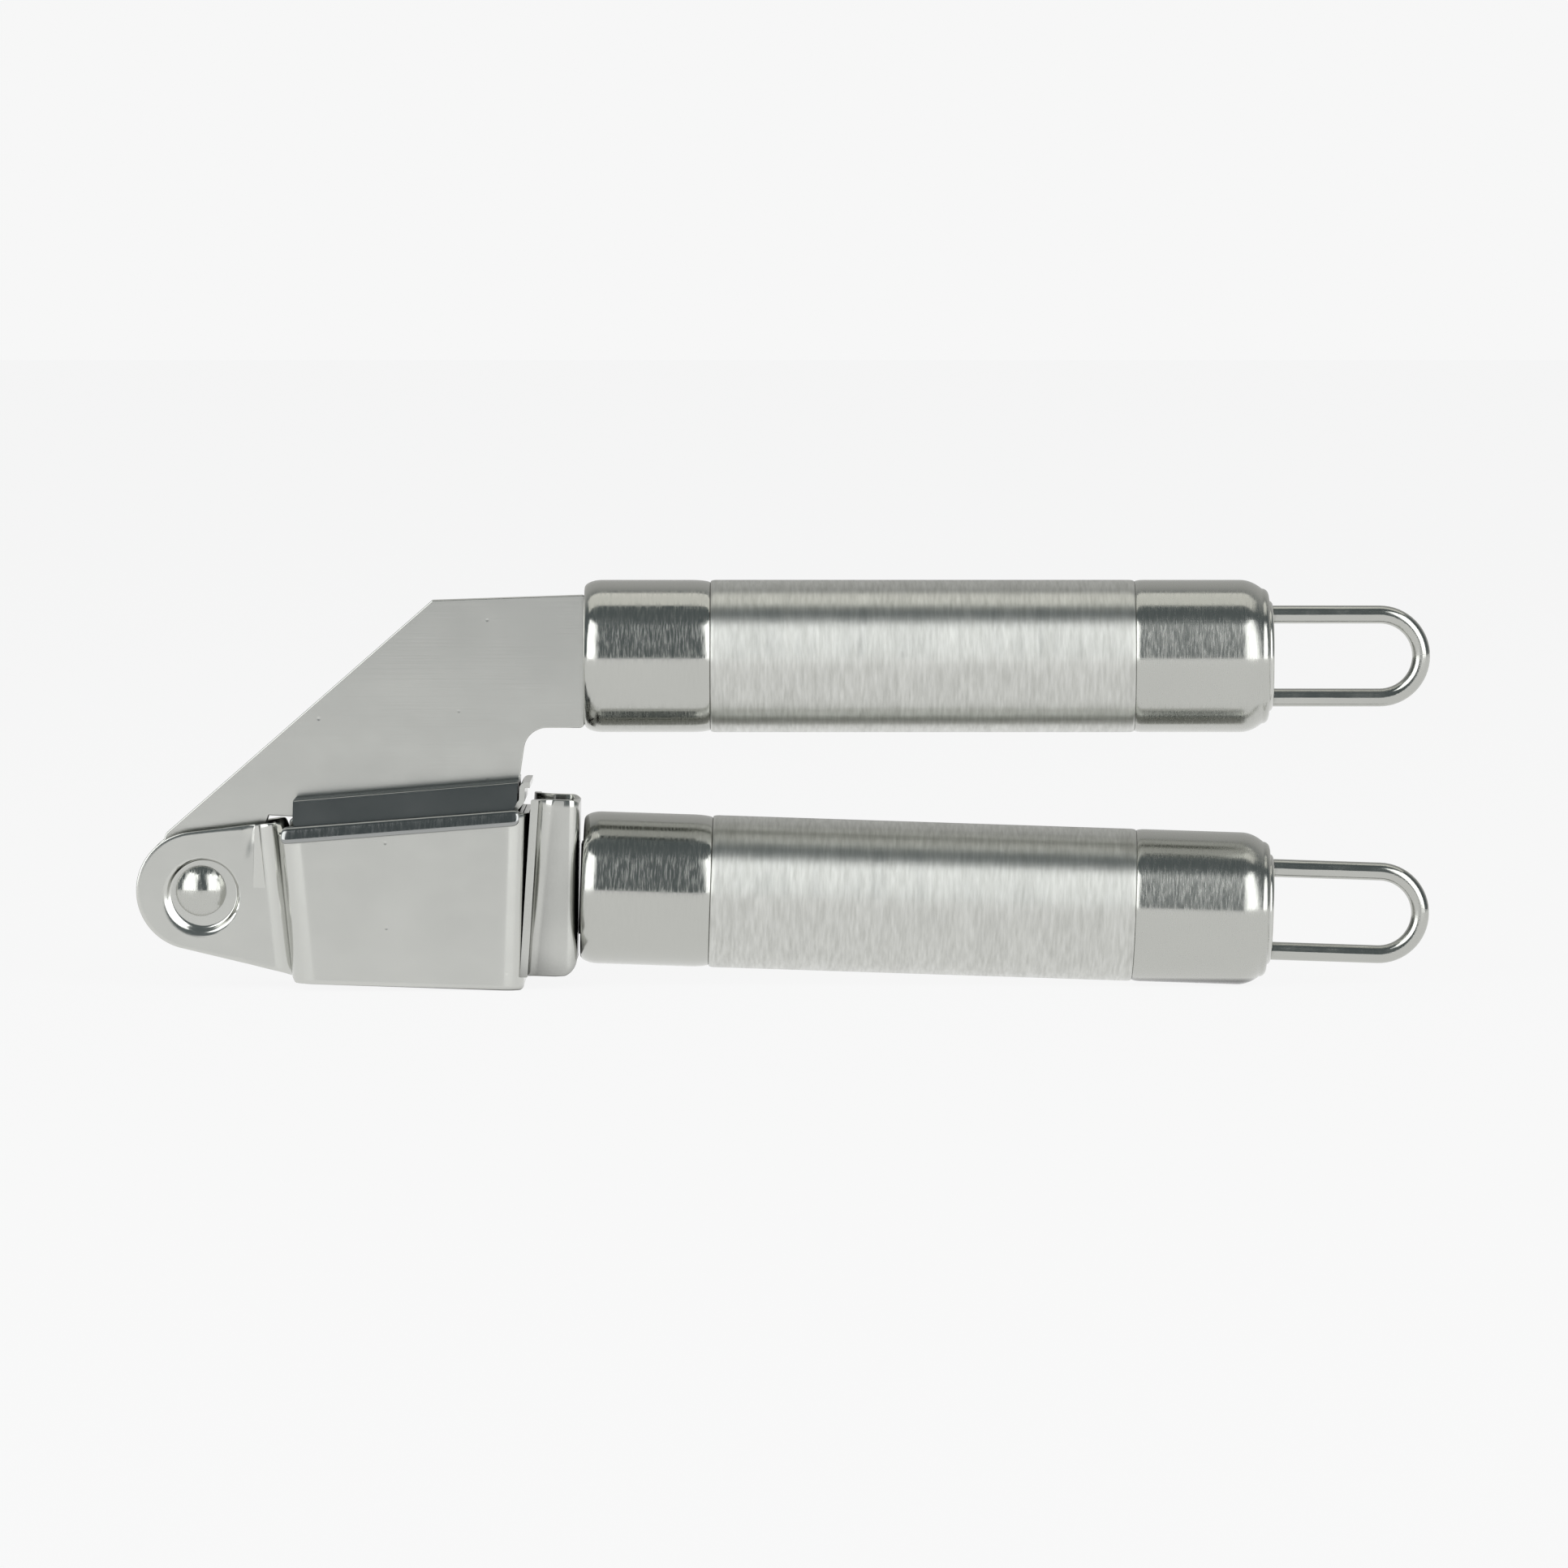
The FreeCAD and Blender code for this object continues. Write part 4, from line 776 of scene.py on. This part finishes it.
def dish(along, up):
    """Depth of the round dish that seats the rivet's head; its lower front lip is softer."""
    dx, dy = along - DISH_CENTRE[0], up - DISH_CENTRE[1]
    radius, angle = math.hypot(dx, dy), math.atan2(dy, dx)
    soft = (0.5 + 0.5 * math.cos(angle - SOFT_LIP_WAY)) ** 1.5
    return DISH_DEPTH * (1 - smooth_step(radius, DISH_INNER, DISH_OUTER + SOFT_LIP * soft))


def ear_outline():
    """Points just inside the ear's edge with their outward normals, from the lower end of
    the join up, over the top, round the nose and back."""
    bottom, top = frame_edges((EAR_JOIN, 0), (EAR_JOIN, 0))
    step = (top - bottom - 2 * EDGE) / FRAME_ROWS
    rows = range(FRAME_ROWS + 1)
    places = [(EAR_JOIN, bottom + EDGE + step * k, 1.0, 0.0) for k in rows]
    places[0] = (EAR_JOIN, bottom + EDGE, 0.0, -1.0)
    places[-1] = (EAR_JOIN, top - EDGE, 0.0, 1.0)
    runs = 12

    def straight_edge(first, last, touch, corner):
        nx, ny = math.cos(touch[2]), math.sin(touch[2])
        for k in range(1, runs):
            along = first + (last - first) * k / runs
            up = line_height(along, touch, corner)
            places.append((along - nx * EDGE, up - ny * EDGE, nx, ny))

    straight_edge(EAR_JOIN, TOP_TOUCH[0], TOP_TOUCH, TOP_CORNER)
    sweep = 2 * math.pi + LOW_TOUCH[2] - TOP_TOUCH[2]
    nose_steps = 72
    for k in range(nose_steps + 1):
        angle = TOP_TOUCH[2] + sweep * k / nose_steps
        nx, ny = math.cos(angle), math.sin(angle)
        reach = NOSE_RADIUS - EDGE
        places.append((NOSE_CENTRE + nx * reach, ny * reach, nx, ny))
    straight_edge(LOW_TOUCH[0], EAR_JOIN, LOW_TOUCH, LOW_CORNER)
    return places


DISH_RINGS = [2.45, 3.4, 4.2, 4.6, 4.72, 4.77, 4.82, 4.88, 4.94, 5.0, 5.06, 5.15, 5.3, 5.5,
              5.7, 5.9, 6.2, 6.6]
EAR_STEPS = 7


def ear_mesh(side):
    """Points and faces of one ear, from the rivet's hole out to its rounded edge."""
    places = ear_outline()
    around = len(places)
    rings = [[] for _ in range(len(DISH_RINGS) + EAR_STEPS)]
    for along, up, _, _ in places:
        dx, dy, reach = direction(DISH_CENTRE, (along, up))
        distances = list(DISH_RINGS)
        last = DISH_RINGS[-1]
        distances += [last + (reach - last) * k / EAR_STEPS for k in range(1, EAR_STEPS + 1)]
        for ring, distance in zip(rings, distances):
            ring.append((DISH_CENTRE[0] + dx * distance, DISH_CENTRE[1] + dy * distance))
    points, faces = [], []
    for depth in (0.0, SHEET):
        for ring in rings:
            for along, up in ring:
                sink = depth + dish(along, up)
                sink += crease(along, up) if side == NEAR else 0.0
                points.append((along, side * (EAR_HALF - sink), up))
    layer = len(rings) * around
    for start in (0, layer):
        faces += [tuple(start + i for i in face) for face in loop_faces(len(rings), around)]
    for i in range(around):
        j = (i + 1) % around
        faces.append((i, j, layer + j, layer + i))
    profile = [(EDGE * math.sin(a), EDGE * (1 - math.cos(a))) for a in EDGE_ANGLES]
    profile += [(reach, SHEET - depth) for reach, depth in profile[::-1]]
    edge_places = places[FRAME_ROWS:] + places[:1]
    strip_start = len(points)
    for along, up, nx, ny in edge_places:
        sink = crease(along, up) if side == NEAR else 0.0
        ring = [(0.0, 0.0)] + profile + [(0.0, SHEET)]
        for reach, depth in ring:
            points.append((along + nx * reach, side * (EAR_HALF - depth - sink), up + ny * reach))
    width = len(profile) + 2
    for k in range(len(edge_places) - 1):
        for m in range(width - 1):
            here = strip_start + k * width + m
            faces.append((here, here + 1, here + 1 + width, here + width))
    return points, faces


def make_basket_frame():
    """One strip bent round the basket, with a dished ear on each side of the arm."""
    low, high = -BASKET_DEPTH, PLAN_TOP
    plans = frame_plan(low), frame_plan(high)

    def relief(x, y, height):
        return crease(x, height) if y < -EAR_HALF + 0.01 and x < EAR_REAR + 3 else 0.0

    points, around = sheet_strip(*plans, low, high, frame_edges, SHEET, FRAME_ROWS, relief)
    faces = loop_faces(len(points) // around, around)
    for side in (NEAR, FAR):
        ear_points, ear_faces = ear_mesh(side)
        start = len(points)
        points += ear_points
        faces += [tuple(start + i for i in face) for face in ear_faces]
    new_piece("frame_strip", points, faces, "lower_lever", "satin_steel", "basket_frame")


# Neck bracket
BRACKET_SHEET = 1.1
BRACKET_HALF, FLANGE_HALF = 8.0, 11.5
BRACKET_REAR = 54.5
BRACKET_TOP, BRACKET_BOTTOM = 14.95, -10.55
BRACKET_TOP_ROUND, BRACKET_LOW_ROUND = 1.5, 2.5
FLANGE_GAP_LOW, FLANGE_GAP_TOP = 0.45, 1.25  # from the frame's rear to the flanges
VALLEY_LOW, VALLEY_TOP = 1.3, 2.3  # radius of the bends between the flanges and the channel
WEB_BEND = 1.7
WEB_LEAN = 0.4  # how far the web leans in at its top


def bracket_plan(flange, valley, rear):
    """The bracket seen from above where its flange face, inner bend and web are as given."""
    points = [
        (flange, -FLANGE_HALF), (flange, -BRACKET_HALF),
        (rear, -BRACKET_HALF), (rear, BRACKET_HALF),
        (flange, BRACKET_HALF), (flange, FLANGE_HALF),
    ]
    radii = [0, valley, WEB_BEND, WEB_BEND, valley, 0]
    return bent_path(points, radii, [4, 3, 10, 3, 4], [10, 12, 12, 10])


def bracket_edges(lower, upper):
    """Bottom and top of the bracket, rounded towards its web."""
    top = BRACKET_TOP - corner_drop(upper[0], BRACKET_REAR, BRACKET_TOP_ROUND)
    bottom = BRACKET_BOTTOM + corner_drop(lower[0], BRACKET_REAR, BRACKET_LOW_ROUND)
    return bottom, top


def make_neck_bracket():
    """Flanged channel that carries the lower handle."""
    low_plan = bracket_plan(FRAME_REAR + FLANGE_GAP_LOW, VALLEY_LOW, BRACKET_REAR)
    high_plan = bracket_plan(FRAME_REAR + FLANGE_GAP_TOP, VALLEY_TOP, BRACKET_REAR - WEB_LEAN)
    low, high = BRACKET_BOTTOM, BRACKET_TOP
    points, around = sheet_strip(low_plan, high_plan, low, high, bracket_edges, BRACKET_SHEET, 26)
    faces = capped_faces(len(points) // around, around)
    places = ("lower_lever", "satin_steel", "neck_bracket")
    # its colour carries wide painted shade down the channel
    new_piece("neck_channel", points, faces, *places, look="channel_shade_painted_steel")


# ---- strainer

TRAY_SHEET = 0.6
TRAY_GAP = SHEET + 0.05
HOLE_RADIUS, HOLE_PITCH, HOLE_MARGIN = 0.9, 2.7, 2.3
HEM_FRONT, HEM_REAR, HEM_TALL = 11.6, 45.6, 2.4
HEM_TILT = 0.24  # how far the rim's outer side leans back, per height
HEM_END = 0.9  # length of its rounded ends
TRAY_FRONT_BEND, TRAY_REAR_BEND = 2.8, 2.5
TRAY_BELOW_LIP = 0.62
FRONT_WALL_DROP = 2.4  # how much lower the tray's front wall is


def tray_plan(height):
    """The tray's outer outline at a height, once round from the middle of its front."""
    front = front_at(height) + TRAY_GAP
    rear, side = FRAME_REAR - TRAY_GAP, FRAME_HALF - TRAY_GAP
    points = [(front, 0), (front, -side), (rear, -side), (rear, side), (front, side), (front, 0)]
    radii = [0, TRAY_FRONT_BEND, TRAY_REAR_BEND, TRAY_REAR_BEND, TRAY_FRONT_BEND, 0]
    return bent_path(points, radii, [8, 30, 12, 30, 8], [10, 10, 10, 10])


def tray_edges(lower, upper):
    """The tray's wall: low at the front, up to the rim elsewhere."""
    rim = lip_height(upper[0])
    low_part = 1 - smooth_step(upper[0], FRONT_TOP + 2.5, FRONT_TOP + 5.0)
    return -BASKET_DEPTH, rim - TRAY_BELOW_LIP - FRONT_WALL_DROP * low_part


def flat_plate(outlines, thickness, bevel):
    """Mesh of a flat plate in the X-Y plane, whose later outlines are holes."""
    curve = bpy.data.curves.new("plate", "CURVE")
    curve.dimensions = "2D"
    curve.fill_mode = "BOTH"
    curve.extrude = (thickness / 2 - bevel) * MM
    curve.bevel_depth = bevel * MM
    curve.bevel_resolution = 2
    curve.offset = -bevel * MM
    for outline in outlines:
        spline = curve.splines.new("POLY")
        spline.points.add(len(outline) - 1)
        for point, (x, y) in zip(spline.points, outline):
            point.co = (x * MM, y * MM, 0, 1)
        spline.use_cyclic_u = True
    holder = bpy.data.objects.new("plate", curve)
    bpy.context.scene.collection.objects.link(holder)
    bpy.context.view_layer.update()
    evaluated = holder.evaluated_get(bpy.context.evaluated_depsgraph_get())
    mesh = bpy.data.meshes.new_from_object(evaluated)
    bpy.data.objects.remove(holder)
    bpy.data.curves.remove(curve)
    return mesh


def hole_places():
    """Centres of the strainer's staggered holes."""
    inset = TRAY_GAP + TRAY_SHEET + HOLE_MARGIN
    front, rear = front_at(-BASKET_DEPTH) + inset, FRAME_REAR - inset
    row_step = HOLE_PITCH * math.sqrt(3) / 2
    rows = int((FRAME_HALF - inset) // row_step)
    places = []
    for row in range(-rows, rows + 1):
        shift = HOLE_PITCH / 2 if row % 2 else 0.0
        count = int((rear - front - shift) // HOLE_PITCH) + 1
        first = (front + rear - (count - 1) * HOLE_PITCH) / 2
        places += [(first + i * HOLE_PITCH, row * row_step) for i in range(count)]
    return places


def make_strainer():
    """Perforated floor and thin walls in one piece."""
    plan = [(x, y) for x, y, _, _ in tray_plan(-BASKET_DEPTH)]
    centre = ((plan[0][0] + FRAME_REAR) / 2, 0)
    shrink = 1 - 0.25 / (FRAME_REAR - centre[0])
    border = [(centre[0] + (x - centre[0]) * shrink, y * shrink) for x, y in plan[:-1]]
    outlines = [border]
    for x, y in hole_places():
        outlines.append([(x + dx, y + dy) for dx, dy in circle(HOLE_RADIUS, 20)])
    floor = flat_plate(outlines, TRAY_SHEET, 0.06)
    height = (TRAY_SHEET / 2 - BASKET_DEPTH) * MM
    floor.transform(Matrix.Translation((0, 0, height)))
    low, high = -BASKET_DEPTH, PLAN_TOP
    plans = tray_plan(low), tray_plan(high)
    points, around = sheet_strip(*plans, low, high, tray_edges, TRAY_SHEET, 20)
    walls = raw_mesh(points, loop_faces(len(points) // around, around))
    mesh = welded("strainer_tray", walls, floor)
    finish_piece("strainer_tray", mesh, "lower_lever", "satin_steel", "strainer_basket")


def make_hem(side):
    """Folded rim over one side wall: a flattened bead with rounded ends."""
    name = "rim_near" if side == NEAR else "rim_far"
    centre_out = (HEM_HALF + FRAME_HALF - TRAY_GAP - TRAY_SHEET) / 2
    half_out = HEM_HALF - centre_out
    half_up = HEM_TALL / 2
    stations = []
    end_steps, steps = 8, 40
    straight = HEM_REAR - HEM_FRONT - 2 * HEM_END
    for k in range(end_steps + 1):
        angle = math.pi / 2 * k / end_steps
        stations.append((HEM_FRONT + HEM_END * (1 - math.cos(angle)), math.sin(angle)))
    for k in range(1, steps):
        stations.append((HEM_FRONT + HEM_END + straight * k / steps, 1.0))
    for k in range(end_steps + 1):
        angle = math.pi / 2 * (1 - k / end_steps)
        stations.append((HEM_REAR - HEM_END * (1 - math.cos(angle)), math.sin(angle)))
    around = 40
    points = []
    for along, full in stations:
        tall = half_up * (0.45 + 0.55 * full)
        wide = half_out * (0.80 + 0.20 * full)
        middle_up = lip_height(along) - half_up
        for cosine, sine in circle(1.0, around):
            up = tall * math.copysign(abs(sine) ** 0.8, sine)
            out = wide * math.copysign(abs(cosine) ** 0.5, cosine) - up * HEM_TILT
            points.append((along, side * (centre_out + out), middle_up + up))
    faces = capped_faces(len(stations), around)
    # the rim's darker colour is painted shade
    new_piece(name, points, faces, "lower_lever", "polished_steel", look="rim_shade_painted_steel")


# ---- press arm


def rounded_outline(points, radii, steps):
    """A closed outline with its corners rounded."""
    outline = []
    count = len(points)
    for i in range(count):
        if radii[i] == 0:
            outline.append(points[i])
            continue
        after = points[(i + 1) % count]
        start, _, heading, turn = bend_at(points[i - 1], points[i], after, radii[i])
        radius = math.copysign(radii[i], turn)
        for k in range(steps + 1):
            outline.append(arc_point(start, heading, heading + turn * k / steps, radius))
    return outline


ARM_BOSS = 7.6
ARM_PEAK = (33.2, 41.7)
ARM_END_UP, ARM_UNDER = 42.45, 23.25
ARM_HEEL = (-5.3, 8.05)
ARM_BACK = 46.85
TANG_LENGTH, TANG_HALF = 4.0, 6.0  # the end of the plate inside the handle
RIVET_BORE = 2.45


def make_press_arm():
    """Flat plate from the rivet to the handle, its edges barely broken."""
    boss = []
    boss_steps = 36
    for k in range(boss_steps + 1):
        angle = math.radians(170 + 217 * k / boss_steps)
        boss.append((ARM_BOSS * math.cos(angle), ARM_BOSS * math.sin(angle)))
    corners_after = [
        ((9.6, 10.6), 0), ((17.8, 10.2), 0.5), ((17.8, -11.05), 0.5), ((42.0, -11.85), 0.5),
        ((43.85, 0.0), 0), ((44.4, 11.2), 0), ((45.4, 13.4), 0), ((45.8, 16.0), 0),
        ((ARM_BACK, ARM_UNDER), 3.3),
        ((UPPER_FACE, ARM_UNDER), 0.8),
        ((UPPER_FACE, UPPER_AXIS - TANG_HALF), 0),
        ((UPPER_FACE + TANG_LENGTH, UPPER_AXIS - TANG_HALF), 0),
        ((UPPER_FACE + TANG_LENGTH, UPPER_AXIS + TANG_HALF), 0),
        ((UPPER_FACE, UPPER_AXIS + TANG_HALF), 0),
        ((UPPER_FACE, ARM_END_UP), 0.4),
        (ARM_PEAK, 0.4),
        (ARM_HEEL, 1.0),
    ]
    places = boss + [corner for corner, _ in corners_after]
    radii = [0] * len(boss) + [radius for _, radius in corners_after]
    outline = rounded_outline(places, radii, 8)
    plate = flat_plate([outline, circle(RIVET_BORE, 48)], 2 * ARM_HALF, 0.14)
    plate.transform(Matrix.Rotation(math.pi / 2, 4, "X"))
    mesh = welded("arm_plate", plate)
    finish_piece("arm_plate", mesh, "upper_lever", "satin_steel", "press_arm", sharp=PLATE_SHARP)


# ---- plunger

PLUNGER_SLOPE = math.radians(4.77)
PLUNGER_TOP, PLUNGER_SHEET = 12.08, 0.8
SHELL_BROW_OUT, SHELL_RIM_OUT, SHELL_FOOT_OUT = 10.3, 10.75, 11.0
SHELL_BROW_BEND, SHELL_RIM_BEND = 0.45, 6.0
SHELL_RIM_UP, SHELL_FOOT_UP = PLUNGER_TOP - 5.5, -13.6
PLUNGER_FOOT = -10.67
# Front and rear edge of the plunger's side: (height, along) pairs on the lower lever.
SHELL_FRONT = [(PLUNGER_FOOT, 16.8), (4.2, 16.0), (10.6, 13.05), (30.0, 12.9)]
SHELL_REAR = [(PLUNGER_FOOT, 42.9), (2.0, 44.2), (13.0, 44.5), (14.5, 45.2), (30.0, 45.2)]


def between(places, height):
    """A value read off a list of (height, value) pairs."""
    for (low, first), (high, second) in zip(places, places[1:]):
        if height <= high:
            t = max(0.0, (height - low) / (high - low))
            return first + (second - first) * t
    return places[-1][1]


def rotated(x, y, angle):
    """A flat point turned about the origin."""
    sine, cosine = math.sin(angle), math.cos(angle)
    return x * cosine - y * sine, x * sine + y * cosine


def shell_point(out, raised, share):
    """A point of the plunger's sheet: share 0 is its front edge and 1 its rear edge."""
    along = (SHELL_FRONT[1][1] + SHELL_REAR[1][1]) / 2
    for _ in range(4):
        place, height = rotated(*rotated(along, raised, PLUNGER_SLOPE), LEAN)
        front = between(SHELL_FRONT, height)
        rear = between(SHELL_REAR, height)
        along += front + (rear - front) * share - place
    place, height = rotated(along, raised, PLUNGER_SLOPE)
    return place, out, height


def make_plunger_shell(side):
    """Half of the folded plunger: a flat top beside the arm and one long side wall."""
    piece = "plunger_near_shell" if side == NEAR else "plunger_far_shell"
    path = [
        (ARM_HALF + 0.02, PLUNGER_TOP), (SHELL_BROW_OUT, PLUNGER_TOP),
        (SHELL_RIM_OUT, SHELL_RIM_UP), (SHELL_FOOT_OUT, SHELL_FOOT_UP),
    ]
    samples = bent_path(path, [0, SHELL_BROW_BEND, SHELL_RIM_BEND, 0], [10, 8, 30], [12, 6])
    outer = [(x, z) for x, z, _, _ in samples]
    inner = [(x - nx * PLUNGER_SHEET, z - nz * PLUNGER_SHEET) for x, z, nx, nz in samples]
    section = outer + inner[::-1]
    lengths = [0.0, 0.004, 0.012] + [k / 30 for k in range(1, 30)] + [0.988, 0.996, 1.0]
    points = []
    for share in lengths:
        for out, raised in section:
            points.append(shell_point(side * out, raised, share))
    faces = loop_faces(len(lengths), len(section))
    last = len(points) - len(section)
    count = len(outer)
    for k in range(count - 1):
        pair = (k, k + 1, len(section) - 2 - k, len(section) - 1 - k)
        faces.append(pair)
        faces.append(tuple(last + i for i in pair))
    places = ("upper_lever", "satin_steel", piece)
    # the plunger's darker colour is painted shade
    new_piece(f"{piece}_sheet", points, faces, *places, look="plunger_shade_painted_steel")


# ---- the press, piece by piece

for lever, face, axis_up in (
    ("lower", LOWER_FACE, LOWER_AXIS),
    ("upper", UPPER_FACE, UPPER_AXIS),
):
    body = f"{lever}_lever"
    make_front_cap(f"{lever}_front_cap", face, axis_up, body)
    make_tube(f"{lever}_handle_tube", axis_up, body)
    make_rear_cap(f"{lever}_rear_cap", axis_up, body)
    make_end_plug(f"{lever}_end_plug", axis_up, body)
    make_hanging_loop(f"{lever}_hanging_loop", axis_up, body)
make_rivet()
make_basket_frame()
make_neck_bracket()
make_strainer()
for side in (NEAR, FAR):
    make_hem(side)
make_press_arm()
for side in (NEAR, FAR):
    make_plunger_shell(side)

KEPT_NODES = {
    "pivot_spacer_near": "satin_steel",
    "pivot_spacer_far": "satin_steel",
    "pressing_plate": "satin_steel",
    "neck_weld": "weld_metal",
    "arm_weld": "weld_metal",
}
for node, slot in KEPT_NODES.items():
    cad_piece = frame["nodes"][node]
    cad_piece.data.materials.clear()
    cad_piece.data.materials.append(MATERIALS[slot])

# ---- studio

FLOOR_LIGHT = 0.90
FLOOR_FRONT, FLOOR_BACK, FLOOR_SIDE = -2.6, 6.0, 4.0
BACKGROUND = 0.930
DARK_ROOM = (0.125, 0.145, 0.150, 1)
PALE_WALL = (0.50, 0.50, 0.49, 1)
WHITE, WARM = (1, 1, 1), (1, 0.97, 0.9)
SIDE_BOX_OUT, SIDE_BOX_Y, SIDE_BOX_UP = 0.80, -0.89, 0.76
TOP_BOX_Y, TOP_BOX_UP = 0.20, 1.2


def make_floor():
    """Pale table that glows a little, so that it stays even, and ends in front of the press."""
    front = [(-FLOOR_SIDE, FLOOR_FRONT, 0), (FLOOR_SIDE, FLOOR_FRONT, 0)]
    back = [(FLOOR_SIDE, FLOOR_BACK, 0), (-FLOOR_SIDE, FLOOR_BACK, 0)]
    mesh = bpy.data.meshes.new("floor")
    mesh.from_pydata(front + back, [], [(0, 1, 2, 3)])
    material = bpy.data.materials.new("floor")
    material.use_nodes = True
    shader = material.node_tree.nodes["Principled BSDF"]
    looks = {
        "Base Color": (0.05, 0.05, 0.05, 1),
        "Roughness": 0.9,
        "Specular IOR Level": 0.0,
        "Emission Color": (1, 1, 1, 1),
        "Emission Strength": FLOOR_LIGHT,
    }
    for socket, value in looks.items():
        shader.inputs[socket].default_value = value
    mesh.materials.append(material)
    floor = bpy.data.objects.new("floor", mesh)
    bpy.context.scene.collection.objects.link(floor)


def make_room():
    """A pale background to look at, and a room that is dark in front and pale behind."""
    world = bpy.data.worlds.new("room")
    bpy.context.scene.world = world
    world.use_nodes = True
    tree = world.node_tree
    tree.nodes.clear()
    new, link = tree.nodes.new, tree.links.new
    way = new("ShaderNodeTexCoord")
    split = new("ShaderNodeSeparateXYZ")
    link(way.outputs["Generated"], split.inputs["Vector"])
    depth = new("ShaderNodeMapRange")
    depth.interpolation_type = "SMOOTHSTEP"
    depth.inputs["From Min"].default_value = 0.15
    depth.inputs["From Max"].default_value = 0.75
    link(split.outputs["Y"], depth.inputs["Value"])
    room = new("ShaderNodeMix")
    room.data_type = "RGBA"
    room.inputs["A"].default_value = DARK_ROOM
    room.inputs["B"].default_value = PALE_WALL
    link(depth.outputs["Result"], room.inputs["Factor"])
    seen = new("ShaderNodeBackground")
    seen.inputs["Color"].default_value = (BACKGROUND, BACKGROUND, BACKGROUND, 1)
    lit = new("ShaderNodeBackground")
    link(room.outputs["Result"], lit.inputs["Color"])
    path = new("ShaderNodeLightPath")
    choose = new("ShaderNodeMixShader")
    link(path.outputs["Is Camera Ray"], choose.inputs["Fac"])
    link(lit.outputs["Background"], choose.inputs[1])
    link(seen.outputs["Background"], choose.inputs[2])
    output = new("ShaderNodeOutputWorld")
    link(choose.outputs["Shader"], output.inputs["Surface"])


def make_softbox(name, place, width, height, brightness, colour, facing):
    """A rectangular light of even brightness that looks at a point."""
    data = bpy.data.lights.new(name, "AREA")
    data.shape = "RECTANGLE"
    data.size = width
    data.size_y = height
    data.energy = brightness * math.pi * width * height
    data.color = colour
    lamp = bpy.data.objects.new(name, data)
    lamp.location = place
    away = Vector(place) - Vector(facing)
    lamp.rotation_euler = away.to_track_quat("Z", "Y").to_euler()
    lamp.visible_camera = False
    bpy.context.scene.collection.objects.link(lamp)


make_floor()
make_room()
for name, side in (("left_box", -1), ("right_box", 1)):
    place = (side * SIDE_BOX_OUT, SIDE_BOX_Y, SIDE_BOX_UP)
    make_softbox(name, place, 1.0, 1.5, 2.3, WHITE, (0, 0, SIDE_BOX_UP))
make_softbox("top_box", (0, TOP_BOX_Y, TOP_BOX_UP), 1.8, 0.6, 0.8, WARM, (0, TOP_BOX_Y, 0))
bpy.context.scene.view_settings.view_transform = "Standard"
